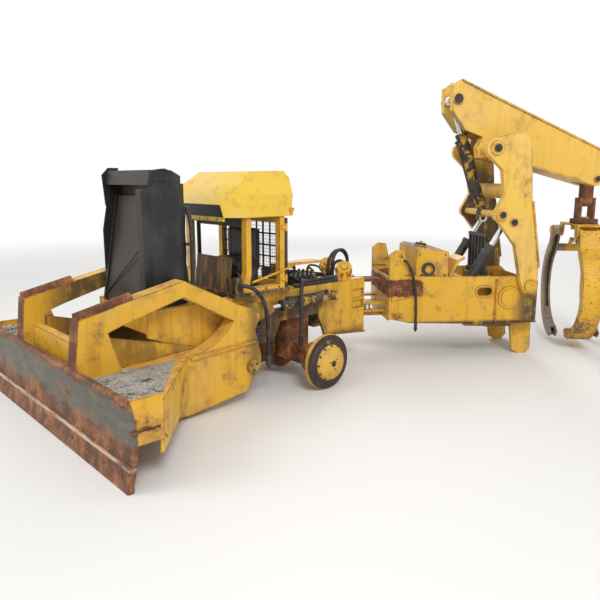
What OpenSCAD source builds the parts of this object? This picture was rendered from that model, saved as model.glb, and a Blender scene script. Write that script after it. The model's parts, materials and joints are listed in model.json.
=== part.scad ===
// Articulated grapple skidder, stripped of its wheels, engine, hood and rear axle.
// It rests on its blade, its front hubs and the skid plates of its rear frame.
// X points forward along the front frame, Y to the machine's left, Z up from the ground.

/* [Stance] */
// Turn of the rear frame about the hinge at rest, to the left of straight
steer_deg = 36; // [0:1:45]
// Distance of the hinge forward of the middle of the whole machine
hinge_x = -236; // [-500:1:1000]
// Distance of the hinge to the left of the middle of the whole machine
hinge_y = -353; // [-1500:1:500]

/* [Front frame] */
// Half width over the side plates
frame_half = 430; // [380:5:440]
// Thickness of the side plates
side_t = 25; // [15:1:30]
// Height of the top of the side rail
rail_z = 910; // [890:5:940]
// Width of the flange on top of each side plate
rail_w = 90; // [60:5:110]
// Thickness of cross plates and flanges
plate_t = 20; // [12:1:25]
// Length of the front frame forward of the hinge
nose_x = 2680; // [2600:10:2750]

/* [Blade] */
// Half width of the blade
blade_half = 1400; // [1250:10:1500]
// Height of the top lip of the blade
blade_z = 625; // [580:5:660]
// Thickness of the blade plate
blade_t = 28; // [20:1:35]
// Forward distance of the blade's cutting edge from the hinge
blade_x = 3350; // [3300:10:3400]
// Outer face of each push arm, sideways from the middle
arm_outer = 620; // [600:5:650]
// Inner face of each push arm
arm_inner = 480; // [470:5:500]

/* [Axle and hubs] */
// Forward distance of the front axle from the hinge
axle_x = 1070; // [1000:10:1150]
// Radius of the hub rim, which is also the height of the axle
hub_r = 260; // [240:5:280]
// Distance of the hub's outer face from the middle
hub_face = 900; // [870:5:950]
// Distance of the wheel's seat on each hub from the middle
rim_y = 824; // [818:1:830]
// Radius of the circle of wheel bolts
wheel_bolt_r = 233; // [225:1:236]
// Radius of the axle tube
axle_r = 95; // [80:5:110]

/* [Cab] */
// Half width of the cab
cab_half = 480; // [440:5:520]
// Forward distance of the cab's front posts
cab_front = 1740; // [1700:10:1800]
// Forward distance of the cab's rear posts
cab_rear = 1300; // [1200:10:1400]
// Height of the bottom edge of the roof
roof_z = 1600; // [1500:10:1700]
// Side of the square tube of the posts
post_w = 60; // [45:1:70]

/* [Rear frame] */
// Distance of the rear frame's front bulkhead behind the hinge
rear_front = 400; // [380:5:440]
// Length from the hinge to the rear end of the side plates
rear_len = 2060; // [2000:10:2100]
// Distance of the arch foot pins behind the hinge
foot_x = 1930; // [1900:5:1950]
// Height of the arch foot pins
foot_z = 800; // [780:5:820]

/* [Arch and boom] */
// Inner face of the arch side plates
arch_inner = 445; // [440:1:460]
// Thickness of the arch side plates
arch_t = 70; // [50:5:80]
// Distance of the boom pivot behind the hinge
boom_x = 1470; // [1440:5:1500]
// Height of the boom pivot
boom_z = 2240; // [2200:5:2280]
// Half width of the boom box
boom_half = 185; // [150:5:210]
// Distance of the boom tip pin behind the hinge
tip_x = 2780; // [2750:5:2820]
// Height of the boom tip pin
tip_z = 1930; // [1900:5:1960]

/* [Grapple] */
// Height of the grapple's tong pivots
tong_z = 1330; // [1300:5:1360]
// Sideways distance of each tong pivot from the middle
tong_y = 230; // [200:5:260]
// Radius of the middle of each tong's curve
tong_r = 540; // [520:5:560]
// Turn of the grapple about its own upright axis at rest
grapple_deg = -16; // [-60:1:0]
// Sideways distance of the inner face of each prong of the forked tong
prong_x = 190; // [180:5:210]
// Width of each prong
prong_w = 90; // [70:5:110]

/* [Fits] */
// Radial clearance of a turning pin
pin_gap = 0.08; // [0.02:0.01:0.1]
// Clearance beside a turning piece
side_gap = 6; // [5:0.5:8]
// Gap between pieces that seat on each other
seat_gap = 0.3; // [0.1:0.1:0.5]

/* [Hidden] */
$fn = 48;

yellow = "#d9a21b";
pale_yellow = "#e3c04a";
rust = "#7a4a30";
dark = "#2b2a29";
chrome = "#c8ccd0";
grey_green = "#6d7468";

side_in = frame_half - side_t;
axle_z = hub_r;
arm_mid = (arm_outer + arm_inner) / 2;

// Blade pivot, rod eye and barrel pin of the lift cylinders
blade_piv = [1800, 330];
lift_eye = [1540, 785];
lift_base = [680, 795];
lift_y = 505;
lift_r = 44;
lift_rod_r = 24;

// Steering cylinder pins, in the front frame and in the rear frame
steer_z = 560;
steer_base = [800, 280];
steer_eye = [-200, 250];
steer_r = 48;
steer_rod_r = 24;

// Arch cylinder pins and boom cylinder pins
arch_base = [-1180, 620];
arch_eye = [-1700, 1480];
arch_cyl_y = 330;
arch_cyl_r = 52;
boom_base = [-1560, 1560];
boom_eye = [-1150, 2760];
boom_cyl_r = 60;
boom_rod_r = 35;

// Places

module front() {
  translate([hinge_x, hinge_y, 0]) children();
}

module rear() {
  translate([hinge_x, hinge_y, 0]) rotate([0, 0, -steer_deg]) children();
}

// Solid from an outline in X and Z, between two sideways distances
module slab(outline, y0, y1) {
  translate([0, y1, 0]) rotate([90, 0, 0]) linear_extrude(y1 - y0) polygon(outline);
}

// Round bar across the machine
module bar_y(r, x, z, y0, y1) {
  translate([x, y1, z]) rotate([90, 0, 0]) cylinder(r = r, h = y1 - y0);
}

// Box from its low corner to its high corner
module block(low, high) {
  translate(low) cube(high - low);
}

module both_sides() {
  children();
  mirror([0, 1, 0]) children();
}

// Points of an arc in a plane
function arc(c, r, a0, a1, n) = [for (i = [0:n]) let (a = a0 + (a1 - a0) * i / n) [c[0] + r * cos(a), c[1] + r * sin(a)]];

// Direction and length between two pins in X and Z
function span(a, b) = norm(b - a);
function lean(a, b) = atan2(b[1] - a[1], b[0] - a[0]);

// Length of the neck between a barrel's eye and its tube
neck = 40;

// Barrel of a cylinder in the X and Z plane, pinned at one end
module barrel_xz(base, eye, y, r, len, pin_r, rod_r) {
  translate([base[0], y, base[1]]) rotate([0, -lean(base, eye), 0]) difference() {
    union() {
      rotate([90, 0, 0]) cylinder(r = pin_r + 22, h = 2 * (pin_r + 4), center = true);
      translate([pin_r, 0, 0]) rotate([0, 90, 0]) cylinder(r = pin_r + 3, h = neck + 1);
      translate([pin_r + neck, 0, 0]) rotate([0, 90, 0]) cylinder(r = r, h = len - pin_r - neck);
      translate([len - 40, 0, 0]) rotate([0, 90, 0]) cylinder(r = r + 8, h = 40);
    }
    rotate([90, 0, 0]) cylinder(r = pin_r + pin_gap, h = 4 * r, center = true);
    translate([pin_r + neck + 10, 0, 0]) rotate([0, 90, 0]) cylinder(r = rod_r + pin_gap, h = len);
  }
}

// Rod of the same cylinder, with its eye
module rod_xz(base, eye, y, rod_r, back, eye_r, eye_w) {
  d = span(base, eye);
  translate([base[0], y, base[1]]) rotate([0, -lean(base, eye), 0]) difference() {
    union() {
      translate([back, 0, 0]) rotate([0, 90, 0]) cylinder(r = rod_r, h = d - back - 0.75 * eye_r);
      translate([d, 0, 0]) rotate([90, 0, 0]) cylinder(r = eye_r, h = eye_w, center = true);
    }
    translate([d, 0, 0]) rotate([90, 0, 0]) cylinder(r = eye_r / 2, h = 2 * eye_w, center = true);
  }
}

// Front frame

module frame_side() {
  difference() {
    slab([[150, rail_z], [nose_x, rail_z], [nose_x, 690], [2160, 480], [1500, 440],
      [axle_x + 330, 440], [axle_x + 240, 620], [axle_x - 240, 620], [axle_x - 330, 400],
      [150, 340]], side_in, frame_half);
    // Step pocket in the rear part of the side plate
    block([170, side_in - 1, 600], [330, frame_half + 1, 800]);
  }
  block([150, frame_half - rail_w, rail_z - plate_t], [nose_x, frame_half, rail_z]);
  // Floor of the step pocket, and the bar across it
  block([160, side_in - 14, 590], [340, side_in + 1, 810]);
  translate([160, frame_half - 14, 690]) rotate([0, 90, 0]) cylinder(r = 12, h = 180);
  // Flange along the lower edge behind the axle
  slab([[150, 340], [axle_x - 330, 400], [axle_x - 330, 384], [150, 324]],
    side_in, frame_half + 22);
  // Upright stiffener ahead of the axle
  block([1440, frame_half - 1, 470], [1456, frame_half + 16, 720]);
}

// Eye lug that stands on the side rail
eye_lug = [470, 960];
module rail_lug() {
  difference() {
    union() {
      bar_y(58, eye_lug[0], eye_lug[1], frame_half - 48, frame_half - 22);
      slab([[eye_lug[0] - 90, rail_z - 1], [eye_lug[0] + 75, rail_z - 1],
        [eye_lug[0] + 50, eye_lug[1] + 20], [eye_lug[0] - 55, eye_lug[1] + 20]],
        frame_half - 48, frame_half - 22);
    }
    bar_y(26, eye_lug[0], eye_lug[1], frame_half - 60, frame_half);
  }
}

module hinge_lug(z0, z1, reach, half, bore_r) {
  difference() {
    union() {
      translate([0, 0, z0]) cylinder(r = half, h = z1 - z0);
      block([0, -half, z0], [reach, half, z1]);
    }
    translate([0, 0, z0 - 1]) cylinder(r = bore_r, h = z1 - z0 + 2);
  }
}

hinge_r = 40;
lug_half = 100;
lug_levels = [[385, 415], [462, 492], [768, 798], [845, 875]];

module front_frame() {
  color(yellow) front() {
    both_sides() frame_side();
    rail_lug();
    // Nose plate, belly plates and cross members
    block([nose_x - plate_t, -side_in, 720], [nose_x, side_in, rail_z - plate_t]);
    block([1500, -side_in, 440], [2140, side_in, 440 + plate_t]);
    block([2000, -side_in, 440], [2000 + plate_t, side_in, 800]);
    block([150, -side_in, 385], [420, side_in, 415]);
    block([150, -side_in, 845], [420, side_in, 875]);
    block([400, -side_in, 385], [400 + plate_t, side_in, 470]);
    block([400, -side_in, 780], [400 + plate_t, side_in, 875]);
    block([axle_x - 240, -side_in, 620], [axle_x + 240, side_in, 640]);
    block([1500, -side_in, 440], [1500 + plate_t, side_in, 640]);
    for (level = lug_levels)
      hinge_lug(level[0], level[1], 170, lug_half, hinge_r + pin_gap);
    block([150, -lug_half, 462], [420, lug_half, 492]);
    block([150, -lug_half, 768], [420, lug_half, 798]);
    for (side = [-1, 1]) {
      // Steering barrel ears
      for (z = [steer_z - 48 - side_gap - 25, steer_z + 48 + side_gap])
        block([steer_base[0] - 60, min(side * 200, side * side_in), z],
          [steer_base[0] + 60, max(side * 200, side * side_in), z + 25]);
      translate([steer_base[0], side * steer_base[1], steer_z - 90]) cylinder(r = 25, h = 180);
    }
    both_sides() {
      // Blade pivot hanger and pin
      slab([[1700, 520], [1700, 300], [1760, 250], [1860, 250], [1900, 300], [1900, 520]],
        side_in, frame_half);
      bar_y(35, blade_piv[0], blade_piv[1], side_in, arm_outer + 25);
      bar_y(60, blade_piv[0], blade_piv[1], arm_outer + side_gap, arm_outer + 30);
      // Lift cylinder pin on the side plate
      bar_y(50, lift_base[0], lift_base[1], frame_half, lift_y - 29 - side_gap);
      bar_y(25, lift_base[0], lift_base[1], frame_half, lift_y + 60);
      bar_y(38, lift_base[0], lift_base[1], lift_y + 29 + side_gap, lift_y + 60);
    }
  }
}

module hinge_pins() {
  color(dark) front() {
    for (z = [[lug_levels[0][0], lug_levels[1][1]], [lug_levels[2][0], lug_levels[3][1]]]) {
      translate([0, 0, z[0] - 15]) cylinder(r = hinge_r, h = z[1] - z[0] + 30);
      translate([0, 0, z[1] + seat_gap]) cylinder(r = hinge_r + 18, h = 14);
    }
  }
}

module step_block() {
  color(dark) front() {
    for (i = [0:4])
      block([1560, frame_half + seat_gap, 470 + 34 * i], [1680, frame_half + 40, 494 + 34 * i]);
    block([1570, frame_half + seat_gap, 470], [1670, frame_half + 30, 494 + 136]);
  }
}

module axle_housing() {
  color(rust) front() translate([axle_x, 0, axle_z]) {
    rotate([90, 0, 0]) cylinder(r = axle_r, h = 2 * 640, center = true);
    rotate([90, 0, 0]) cylinder(r = 190, h = 340, center = true);
    rotate([0, 90, 0]) cylinder(r = 150, h = 2 * 230, center = true);
    for (side = [-1, 1]) {
      translate([0, side * 330, 160]) cube([280, 140, 400 - 2 * seat_gap], center = true);
      translate([0, side * 640, 0]) rotate([90, 0, 0]) cylinder(r = 150, h = 60, center = true);
      translate([0, side * 740, 0]) rotate([90, 0, 0]) cylinder(r = 70, h = 160, center = true);
    }
  }
}

// Hub as one turned piece around the axle spindle, with the wheel's bolt holes in its rim
module hub(side) {
  outline = [[70 + pin_gap, 675], [150, 675], [190, 720], [hub_r - 20, 770], [hub_r, 785],
    [hub_r, rim_y - 4], [hub_r - 4, rim_y], [hub_r - 50, rim_y], [hub_r - 60, 840], [170, 850],
    [150, 880], [70, hub_face], [0, hub_face], [0, 822], [70 + pin_gap, 822]];
  color(yellow) front() translate([axle_x, 0, axle_z]) rotate([-90 * side, 0, 0]) difference() {
    rotate_extrude() polygon(outline);
    for (i = [0:11])
      rotate(15 + 30 * i) translate([wheel_bolt_r, 0, 740]) cylinder(r = 11, h = 100);
  }
}

module hub_left() {
  hub(1);
}

module hub_right() {
  hub(-1);
}

// Cooling box

shroud_c = [2430, 60];
module radiator_core() {
  z0 = rail_z + seat_gap;
  color(dark) front() {
    // Core between its tanks
    block([2400, -350, z0], [2460, 350, 1900]);
    block([2385, -350, z0], [2475, 350, z0 + 70]);
    // Bulged wall of the shroud, and what ties it to the core
    translate([0, 0, z0]) linear_extrude(1890 - z0)
      polygon(concat(arc(shroud_c, 330, 64, 122, 12), arc(shroud_c, 318, 122, 64, 12)));
    block([2400, 340, z0], [2460, 384, 1890]);
    // Corner channel beside the guard
    block([2556, 346, z0], [2640, 360, 1850]);
    block([2626, 270, z0], [2640, 360, 1850]);
    // Far wall
    slab([[2300, z0], [2640, z0], [2640, 1500], [2560, 1890], [2300, 1890]], -362, -350);
    // Open tray on top
    difference() {
      slab([[2300, 1880], [2590, 1880], [2570, 1995], [2385, 1995], [2300, 1950]], -362, 372);
      slab([[2312, 1892], [2578, 1892], [2556, 1996], [2397, 1996], [2312, 1955]], -350, 360);
    }
    // Hanger plate at the far top corner
    slab([[2470, 1700], [2600, 1700], [2620, 1960], [2560, 2020], [2470, 2020]], -374, -361);
    // Bent pipe beside the shroud
    translate([2215, 372, z0]) cylinder(r = 17, h = 640);
    translate([2215, 372, z0 + 640]) rotate([0, 12, 0]) cylinder(r = 17, h = 160);
    translate([2215, 372, z0 + 640]) sphere(r = 21);
    block([2215, 336, 1390], [2270, 380, 1414]);
  }
}

module radiator_guard() {
  z0 = rail_z + seat_gap;
  color("#6b5a4a") front() {
    slab([[2644, z0], [2662, z0], [2500, 1790], [2482, 1790]], -340, 262);
    // Raised edge on the far side
    slab([[2644, z0], [2678, z0], [2516, 1800], [2482, 1800]], -348, -318);
  }
}

// Cab

lever_low = [1792, 428, rail_z + 30];
lever_high = [1852, cab_half - 2, 1085];

module cab_floor() {
  color(dark) front() {
    block([cab_rear - 60, -cab_half, rail_z + seat_gap], [cab_front + 130, cab_half, rail_z + 35]);
    // Scorched plate below the windscreen opening
    slab([[cab_front + 70, rail_z + 35], [cab_front + 90, rail_z + 35], [cab_front + 60, 1240],
      [cab_front + 40, 1240]], -200, 330);
    block([cab_front + 52, 330, rail_z + 30], [cab_front + 100, 418, 1060]);
    // Lever block at the near corner
    block(lever_low, lever_high);
  }
}

module cab_posts() {
  z0 = rail_z + 35 + seat_gap;
  x0 = cab_front - post_w;
  color(yellow) front() {
    // Near front post, bent at its foot, and the straight far one
    slab([[x0, z0], [cab_front + 38, z0], [cab_front + 44, 1010], [cab_front + 4, 1130],
      [cab_front, roof_z], [x0, roof_z], [x0, 1120], [x0 + 22, 1000]], cab_half - post_w, cab_half);
    block([x0, -cab_half, z0], [cab_front, post_w - cab_half, roof_z]);
    // Sill of the front opening
    block([cab_front - 50, -cab_half + 1, z0], [cab_front + 20, -215, 1080]);
    both_sides() {
      block([cab_rear, cab_half - post_w, z0], [cab_rear + post_w, cab_half, roof_z]);
      block([cab_rear + 1, cab_half - post_w, z0], [cab_front - 1, cab_half, z0 + 40]);
      block([cab_rear, 0, roof_z - 60], [cab_rear + post_w, cab_half - 1, roof_z]);
      block([cab_rear, 0, z0], [cab_rear + post_w, cab_half - 1, z0 + 60]);
    }
  }
}

// Roof outlines seen from the side, from above and from ahead, drawn in by a wall
roof_wall = 25;
roof_half = cab_half + 20;
function roof_side(g) = [[cab_rear - 60 + g, -g / 25], [cab_front + 150 - g, -g / 25],
  [cab_front + 172 - g, 112 - g / 5], [cab_front + 62 - 0.7 * g, 258 - 0.7 * g],
  [cab_front - 120 - 0.4 * g, 392 - g], [cab_rear - 60 + g, 400 - g], [cab_rear - 100 + g, 340]];
function roof_plan(g) = [[cab_rear - 101, g - roof_half], [cab_front + 10, g - roof_half],
  [cab_front + 173, g - roof_half + 150], [cab_front + 173, roof_half - 150 - g],
  [cab_front + 10, roof_half - g], [cab_rear - 101, roof_half - g]];
function roof_ahead(g) = [[g - roof_half, -2], [roof_half - g, -2], [roof_half - g, 190],
  [roof_half - g - 105, 401], [g - roof_half + 105, 401], [g - roof_half, 190]];

module roof_form(g) {
  intersection() {
    slab(roof_side(g), -roof_half, roof_half);
    translate([0, 0, -2]) linear_extrude(404) polygon(roof_plan(g));
    translate([cab_rear - 101, 0, 0]) rotate([90, 0, 90])
      linear_extrude(cab_front - cab_rear + 280) polygon(roof_ahead(g));
  }
}

module cab_roof() {
  color(pale_yellow) front() translate([0, 0, roof_z + seat_gap]) {
    difference() {
      roof_form(0);
      roof_form(roof_wall);
    }
    // Trim under the visor
    block([cab_front + 122, 150 - roof_half, -34], [cab_front + 150, roof_half - 150, 1]);
  }
}

module cab_screens() {
  z0 = rail_z + 35 + 2 * seat_gap + 60;
  z1 = roof_z - 60 - seat_gap;
  wide = cab_half - post_w - seat_gap;
  color(dark) front() {
    for (i = [-4:4])
      block([cab_rear + 20, 100 * i - 6, z0], [cab_rear + 32, 100 * i + 6, z1]);
    for (k = [1:4])
      block([cab_rear + 20, -wide, z0 + 105 * k], [cab_rear + 32, wide, z0 + 12 + 105 * k]);
  }
}

module operator_seat() {
  color(dark) front() {
    block([1400, -200, rail_z + 35 + seat_gap], [1600, 200, rail_z + 190]);
    block([1380, -210, rail_z + 190], [1640, 210, rail_z + 270]);
    block([1370, -200, rail_z + 270], [1430, 200, rail_z + 560]);
  }
}

module control_valves() {
  color(dark) front() {
    for (i = [0:4])
      block([760 + 60 * i, 120, 875 + seat_gap + 5], [805 + 60 * i, 330, 1000]);
    block([740, 150, 875 + seat_gap], [1060, 300, 960]);
  }
}

module transmission_case() {
  color(dark) front() {
    block([560, -230, 640 + seat_gap], [1180, 230, 875]);
    block([1180, -170, 640 + seat_gap], [1290, 170, 830]);
  }
}

module deck_bracket() {
  color(yellow) front() {
    // Flat tapered arm on its leg
    translate([0, 0, 1110]) linear_extrude(24)
      polygon([[1226, 190], [1226, 300], [700, 345], [690, 210], [720, 180]]);
    block([1184, 190, rail_z - 1], [1226, 300, 1112]);
    block([1140, 190, rail_z + seat_gap], [1228, frame_half - 10, rail_z + 16]);
  }
}

// Long black beam that slopes from behind the cab down to the hinge
module deck_beam() {
  color(dark) front() {
    slab([[1225, 1085], [1225, 1030], [420, 905], [330, 905], [330, 940], [420, 950]], 40, 110);
    block([330, 40, 875 + seat_gap], [400, 110, 910]);
    block([1185, 40, 830 + seat_gap], [1225, 110, 1035]);
  }
}

module round_drums() {
  color(yellow) front()
    for (p = [[300, 265], [225, -60]])
      translate([p[0], p[1], 875 + seat_gap]) {
        cylinder(r = 50, h = 100);
        translate([0, 0, 95]) rotate([-32, 32, 0]) {
          cylinder(r = 90, h = 22);
          cylinder(r = 80, h = 80);
          cylinder(r = 40, h = 96);
        }
      }
}

module stack_pipe() {
  color(dark) front() translate([1272, 452, rail_z + 35 + seat_gap]) {
    cylinder(r = 24, h = roof_z - rail_z - 55);
    cylinder(r = 26, h = 30);
  }
}

// Hoses

hose_r = 17;

// Half hoop of hose that stands on a deck, with straight legs down to a height
module hoop(mid, radius, turn, foot) {
  translate(mid) rotate([0, 0, turn]) {
    rotate([90, 0, 0]) rotate_extrude(angle = 180) translate([radius, 0]) circle(hose_r);
    for (side = [-1, 1])
      translate([side * radius, 0, foot - mid[2]]) cylinder(r = hose_r, h = mid[2] - foot);
  }
}

module deck_hoses() {
  deck = 875 + seat_gap;
  color(dark) front() {
    // Hoops over the hinge
    hoop([235, 118, 1010], 170, 6, deck);
    hoop([250, 165, 1050], 140, 10, deck);
    hoop([262, 158, 965], 105, 0, deck);
    // Bundle on the rail
    for (p = [[410, 0, 520], [374, 0, 520], [392, 29.1, 430]])
      translate([560, p[0], rail_z + hose_r + seat_gap + p[1]])
        rotate([0, 90, 0]) cylinder(r = hose_r, h = p[2]);
    // Loop over the tread block
    hoop([1620, frame_half + 18, 720], 44, 0, 630 + seat_gap);
  }
}

// Tube of ten sides along hand-chosen points, none of whose stretches runs along X alone
module hose(points, r) {
  n = len(points);
  sides = 10;
  function way(i) = let (d = points[min(i + 1, n - 1)] - points[max(i - 1, 0)]) d / norm(d);
  function ring(i) = let (t = way(i), c = cross(t, [1, 0, 0]), u = c / norm(c), v = cross(t, u))
    [for (k = [0:sides - 1]) points[i] + r * (u * cos(360 * k / sides) + v * sin(360 * k / sides))];
  rings = [for (i = [0:n - 1]) each ring(i)];
  walls = [for (i = [0:n - 2]) for (k = [0:sides - 1]) let (m = (k + 1) % sides)
    [sides * i + k, sides * (i + 1) + k, sides * (i + 1) + m, sides * i + m]];
  near = [for (k = [0:sides - 1]) k];
  far = [for (k = [sides - 1:-1:0]) sides * (n - 1) + k];
  polyhedron(rings, concat(walls, [near, far]));
}

// Route of the hose that falls beside the arm's rear end
front_route = [[1822, 478.3, 1020], [1822, 500, 1020], [1816, 530, 1024], [1796, 560, 1022], [1758, 588, 1004],
  [1712, 600, 968], [1672, 602, 918], [1640, 601, 860], [1618, 600, 792], [1605, 599, 718],
  [1598, 598, 640], [1595, 597, 560], [1594, 596, 480], [1594, 596, 400], [1594, 596, 330]];
// Route of the hose that falls from the valves over the lift cylinder
middle_route = [[1022, 330.3, 960], [1022, 352, 960], [1026, 378, 967], [1034, 410, 974], [1056, 448, 978],
  [1086, 482, 970], [1114, 512, 948], [1146, 540, 912], [1170, 564, 866], [1186, 580, 808],
  [1196, 590, 742], [1201, 594, 670], [1203, 596, 595], [1204, 596, 520], [1204, 596, 450]];
// Route of the hose beside the rear frame, in that frame's directions
rear_route = [[-560, 429.3, 1080], [-560, 444, 1080], [-565, 462, 1079], [-576, 478, 1066], [-596, 484, 1034],
  [-620, 484, 984], [-642, 481, 920], [-660, 478, 848], [-674, 474, 772], [-684, 471, 694],
  [-690, 469, 614], [-693, 467, 534], [-694, 466, 454], [-694, 466, 380]];

module hose_front() {
  color(dark) front() hose(front_route, 18);
}

module hose_middle() {
  color(dark) front() hose(middle_route, 18);
}

module hose_rear() {
  color(dark) rear() hose(rear_route, 14);
}

// Blade

// Centre of the blade's curve, and its radius at the back face
blade_c = [blade_x + 900, 320];
blade_r = 960;

function blade_arc(r) = arc(blade_c, r, 161.5, 196, 10);
function blade_arc_up(r) = arc(blade_c, r, 196, 161.5, 10);

module moldboard() {
  color(rust) front() slab(concat(blade_arc(blade_r), [[blade_x - 20, 0], [blade_x + 8, 0]],
    blade_arc_up(blade_r - blade_t)), -blade_half, blade_half);
  color(rust) front() {
    // Rolled lip and cutting edge
    bar_y(21, blade_x + 22, blade_z - 14, -blade_half, blade_half);
    slab([[blade_x - 20, 170], [blade_x - 16, 20], [blade_x + 4, 0], [blade_x + 26, 3],
      [blade_x + 6, 150], [blade_x - 14, 170]], -blade_half, blade_half);
  }
}

// Room taken by the moldboard, cut from what seats on its back
module blade_space() {
  slab(concat(blade_arc(blade_r + seat_gap), [[blade_c[0], 55], [blade_c[0], 624]]),
    -blade_half - 1, blade_half + 1);
}

// Rearward distance of the blade's back face at mid height
blade_back = blade_x - 62;

module blade_box() {
  inner = arm_outer + seat_gap;
  far = blade_half - 20;
  color(yellow) front() difference() {
    union() {
      both_sides() {
        // End cheek
        block([blade_back - 190, far, 300], [blade_x - 20, blade_half, blade_z - 20]);
        block([blade_back - 210, far - 60, 300], [blade_x - 20, blade_half, 318]);
        // Sloping wing shelf
        translate([0, 0, 520]) linear_extrude(20)
          polygon([[blade_x - 20, inner], [blade_x - 20, far], [blade_back - 190, far], [2440, inner]]);
        // Diagonal brace wall
        translate([0, 0, 200]) linear_extrude(320)
          polygon([[2440, inner], [2470, inner], [blade_back - 160, far], [blade_back - 190, far]]);
      }
      // Guard channel between the arms
      guard = arm_inner - seat_gap;
      block([blade_back - 60, -guard, 140], [blade_back - 40, guard, blade_z + 110]);
      block([blade_back - 120, -guard, blade_z + 90], [blade_back - 40, guard, blade_z + 110]);
      block([blade_back - 120, -guard, 120], [blade_x - 20, guard, 180]);
    }
    blade_space();
  }
}

// Push arm with its ring shaped side frame
module arm() {
  outer = [[3300, 960], [2970, 1040], [2450, 1150], [1870, 860], [1760, 840], [1700, 760],
    [1760, 640], [1700, 420], [1700, 300], [1760, 250], [1850, 110], [2440, 40], [3150, 60]];
  hole = concat([[3090, 840], [2970, 880], [2460, 1020]],
    arc([2410, 1060], 520, 215.5, 260, 8), [[2930, 515], [2990, 530]]);
  difference() {
    union() {
      difference() {
        slab(concat(outer, blade_arc_up(blade_r + seat_gap)), arm_inner, arm_outer);
        slab(hole, arm_inner - 1, arm_outer + 1);
      }
      // Flange on the push arm, clear of the wing shelf
      slab([[1760, 560], [2050, 545], [2425, 528], [2425, 508], [2050, 525], [1760, 540]],
        arm_inner - 12, arm_outer + 28);
      // Round cap on the front of the top bar
      translate([3290, arm_mid, 955]) rotate([0, -lean([3290, 955], [2870, 1052]), 0])
        rotate([0, 90, 0]) cylinder(r = 52, h = norm([420, 97]));
      // Plate that closes the lower part of the ring, lower towards its rear
      slab([[3140, 800], [2300, 570], [2330, 480], [3150, 480]], arm_inner - 22, arm_inner + 1);
      // Ear plates that hold the rod eye
      for (y = [[lift_y - 22 - side_gap - 12, arm_inner + 1],
          [lift_y + 22 + side_gap, lift_y + 22 + side_gap + 25]])
        slab([[1860, 850], [1700, 870], [1560, 840], [1500, 815], [1490, 760], [1540, 730],
          [1700, 690], [1860, 700]], y[0], y[1]);
    }
    bar_y(35 + pin_gap, blade_piv[0], blade_piv[1], arm_inner - 1, arm_outer + 1);
    // Room for the rod eye
    block([1400, lift_y - 22 - side_gap, 650], [1720, lift_y + 22 + side_gap, 900]);
  }
}

module arm_left() {
  color(yellow) front() arm();
}

module arm_right() {
  color(yellow) front() mirror([0, 1, 0]) arm();
}

module lift_barrels() {
  color(yellow) front() both_sides()
    barrel_xz(lift_base, lift_eye, lift_y, lift_r, 690, 25, lift_rod_r);
}

module lift_rods() {
  color(chrome) front() both_sides()
    rod_xz(lift_base, lift_eye, lift_y, lift_rod_r, 160, 45, 44);
}

// Steering cylinders lie flat between the hinge levels

function turned(p) = [p[0] * cos(steer_deg) + p[1] * sin(steer_deg),
  -p[0] * sin(steer_deg) + p[1] * cos(steer_deg)];

module steer_barrel(side) {
  base = [steer_base[0], side * steer_base[1]];
  eye = turned([steer_eye[0], side * steer_eye[1]]);
  color(yellow) front() translate([base[0], base[1], steer_z]) rotate([0, 0, lean(base, eye)])
    difference() {
      union() {
        cylinder(r = 46, h = 2 * 46, center = true);
        translate([25, 0, 0]) rotate([0, 90, 0]) cylinder(r = steer_r, h = 535);
      }
      cylinder(r = 25 + pin_gap, h = 200, center = true);
      translate([70, 0, 0]) rotate([0, 90, 0]) cylinder(r = steer_rod_r + pin_gap, h = 560);
    }
}

module steer_rod(side) {
  base = [steer_base[0], side * steer_base[1]];
  eye = turned([steer_eye[0], side * steer_eye[1]]);
  d = norm(eye - base);
  color(chrome) front() translate([base[0], base[1], steer_z]) rotate([0, 0, lean(base, eye)])
    difference() {
      union() {
        translate([d - 640, 0, 0]) rotate([0, 90, 0]) cylinder(r = steer_rod_r, h = 610);
        translate([d, 0, 0]) cylinder(r = 40, h = 50, center = true);
      }
      translate([d, 0, 0]) cylinder(r = 20, h = 100, center = true);
    }
}

module steer_barrel_left() {
  steer_barrel(1);
}

module steer_rod_left() {
  steer_rod(1);
}

module steer_barrel_right() {
  steer_barrel(-1);
}

module steer_rod_right() {
  steer_rod(-1);
}

// Rear frame

rear_lugs = [[421, 456], [804, 839]];

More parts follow.
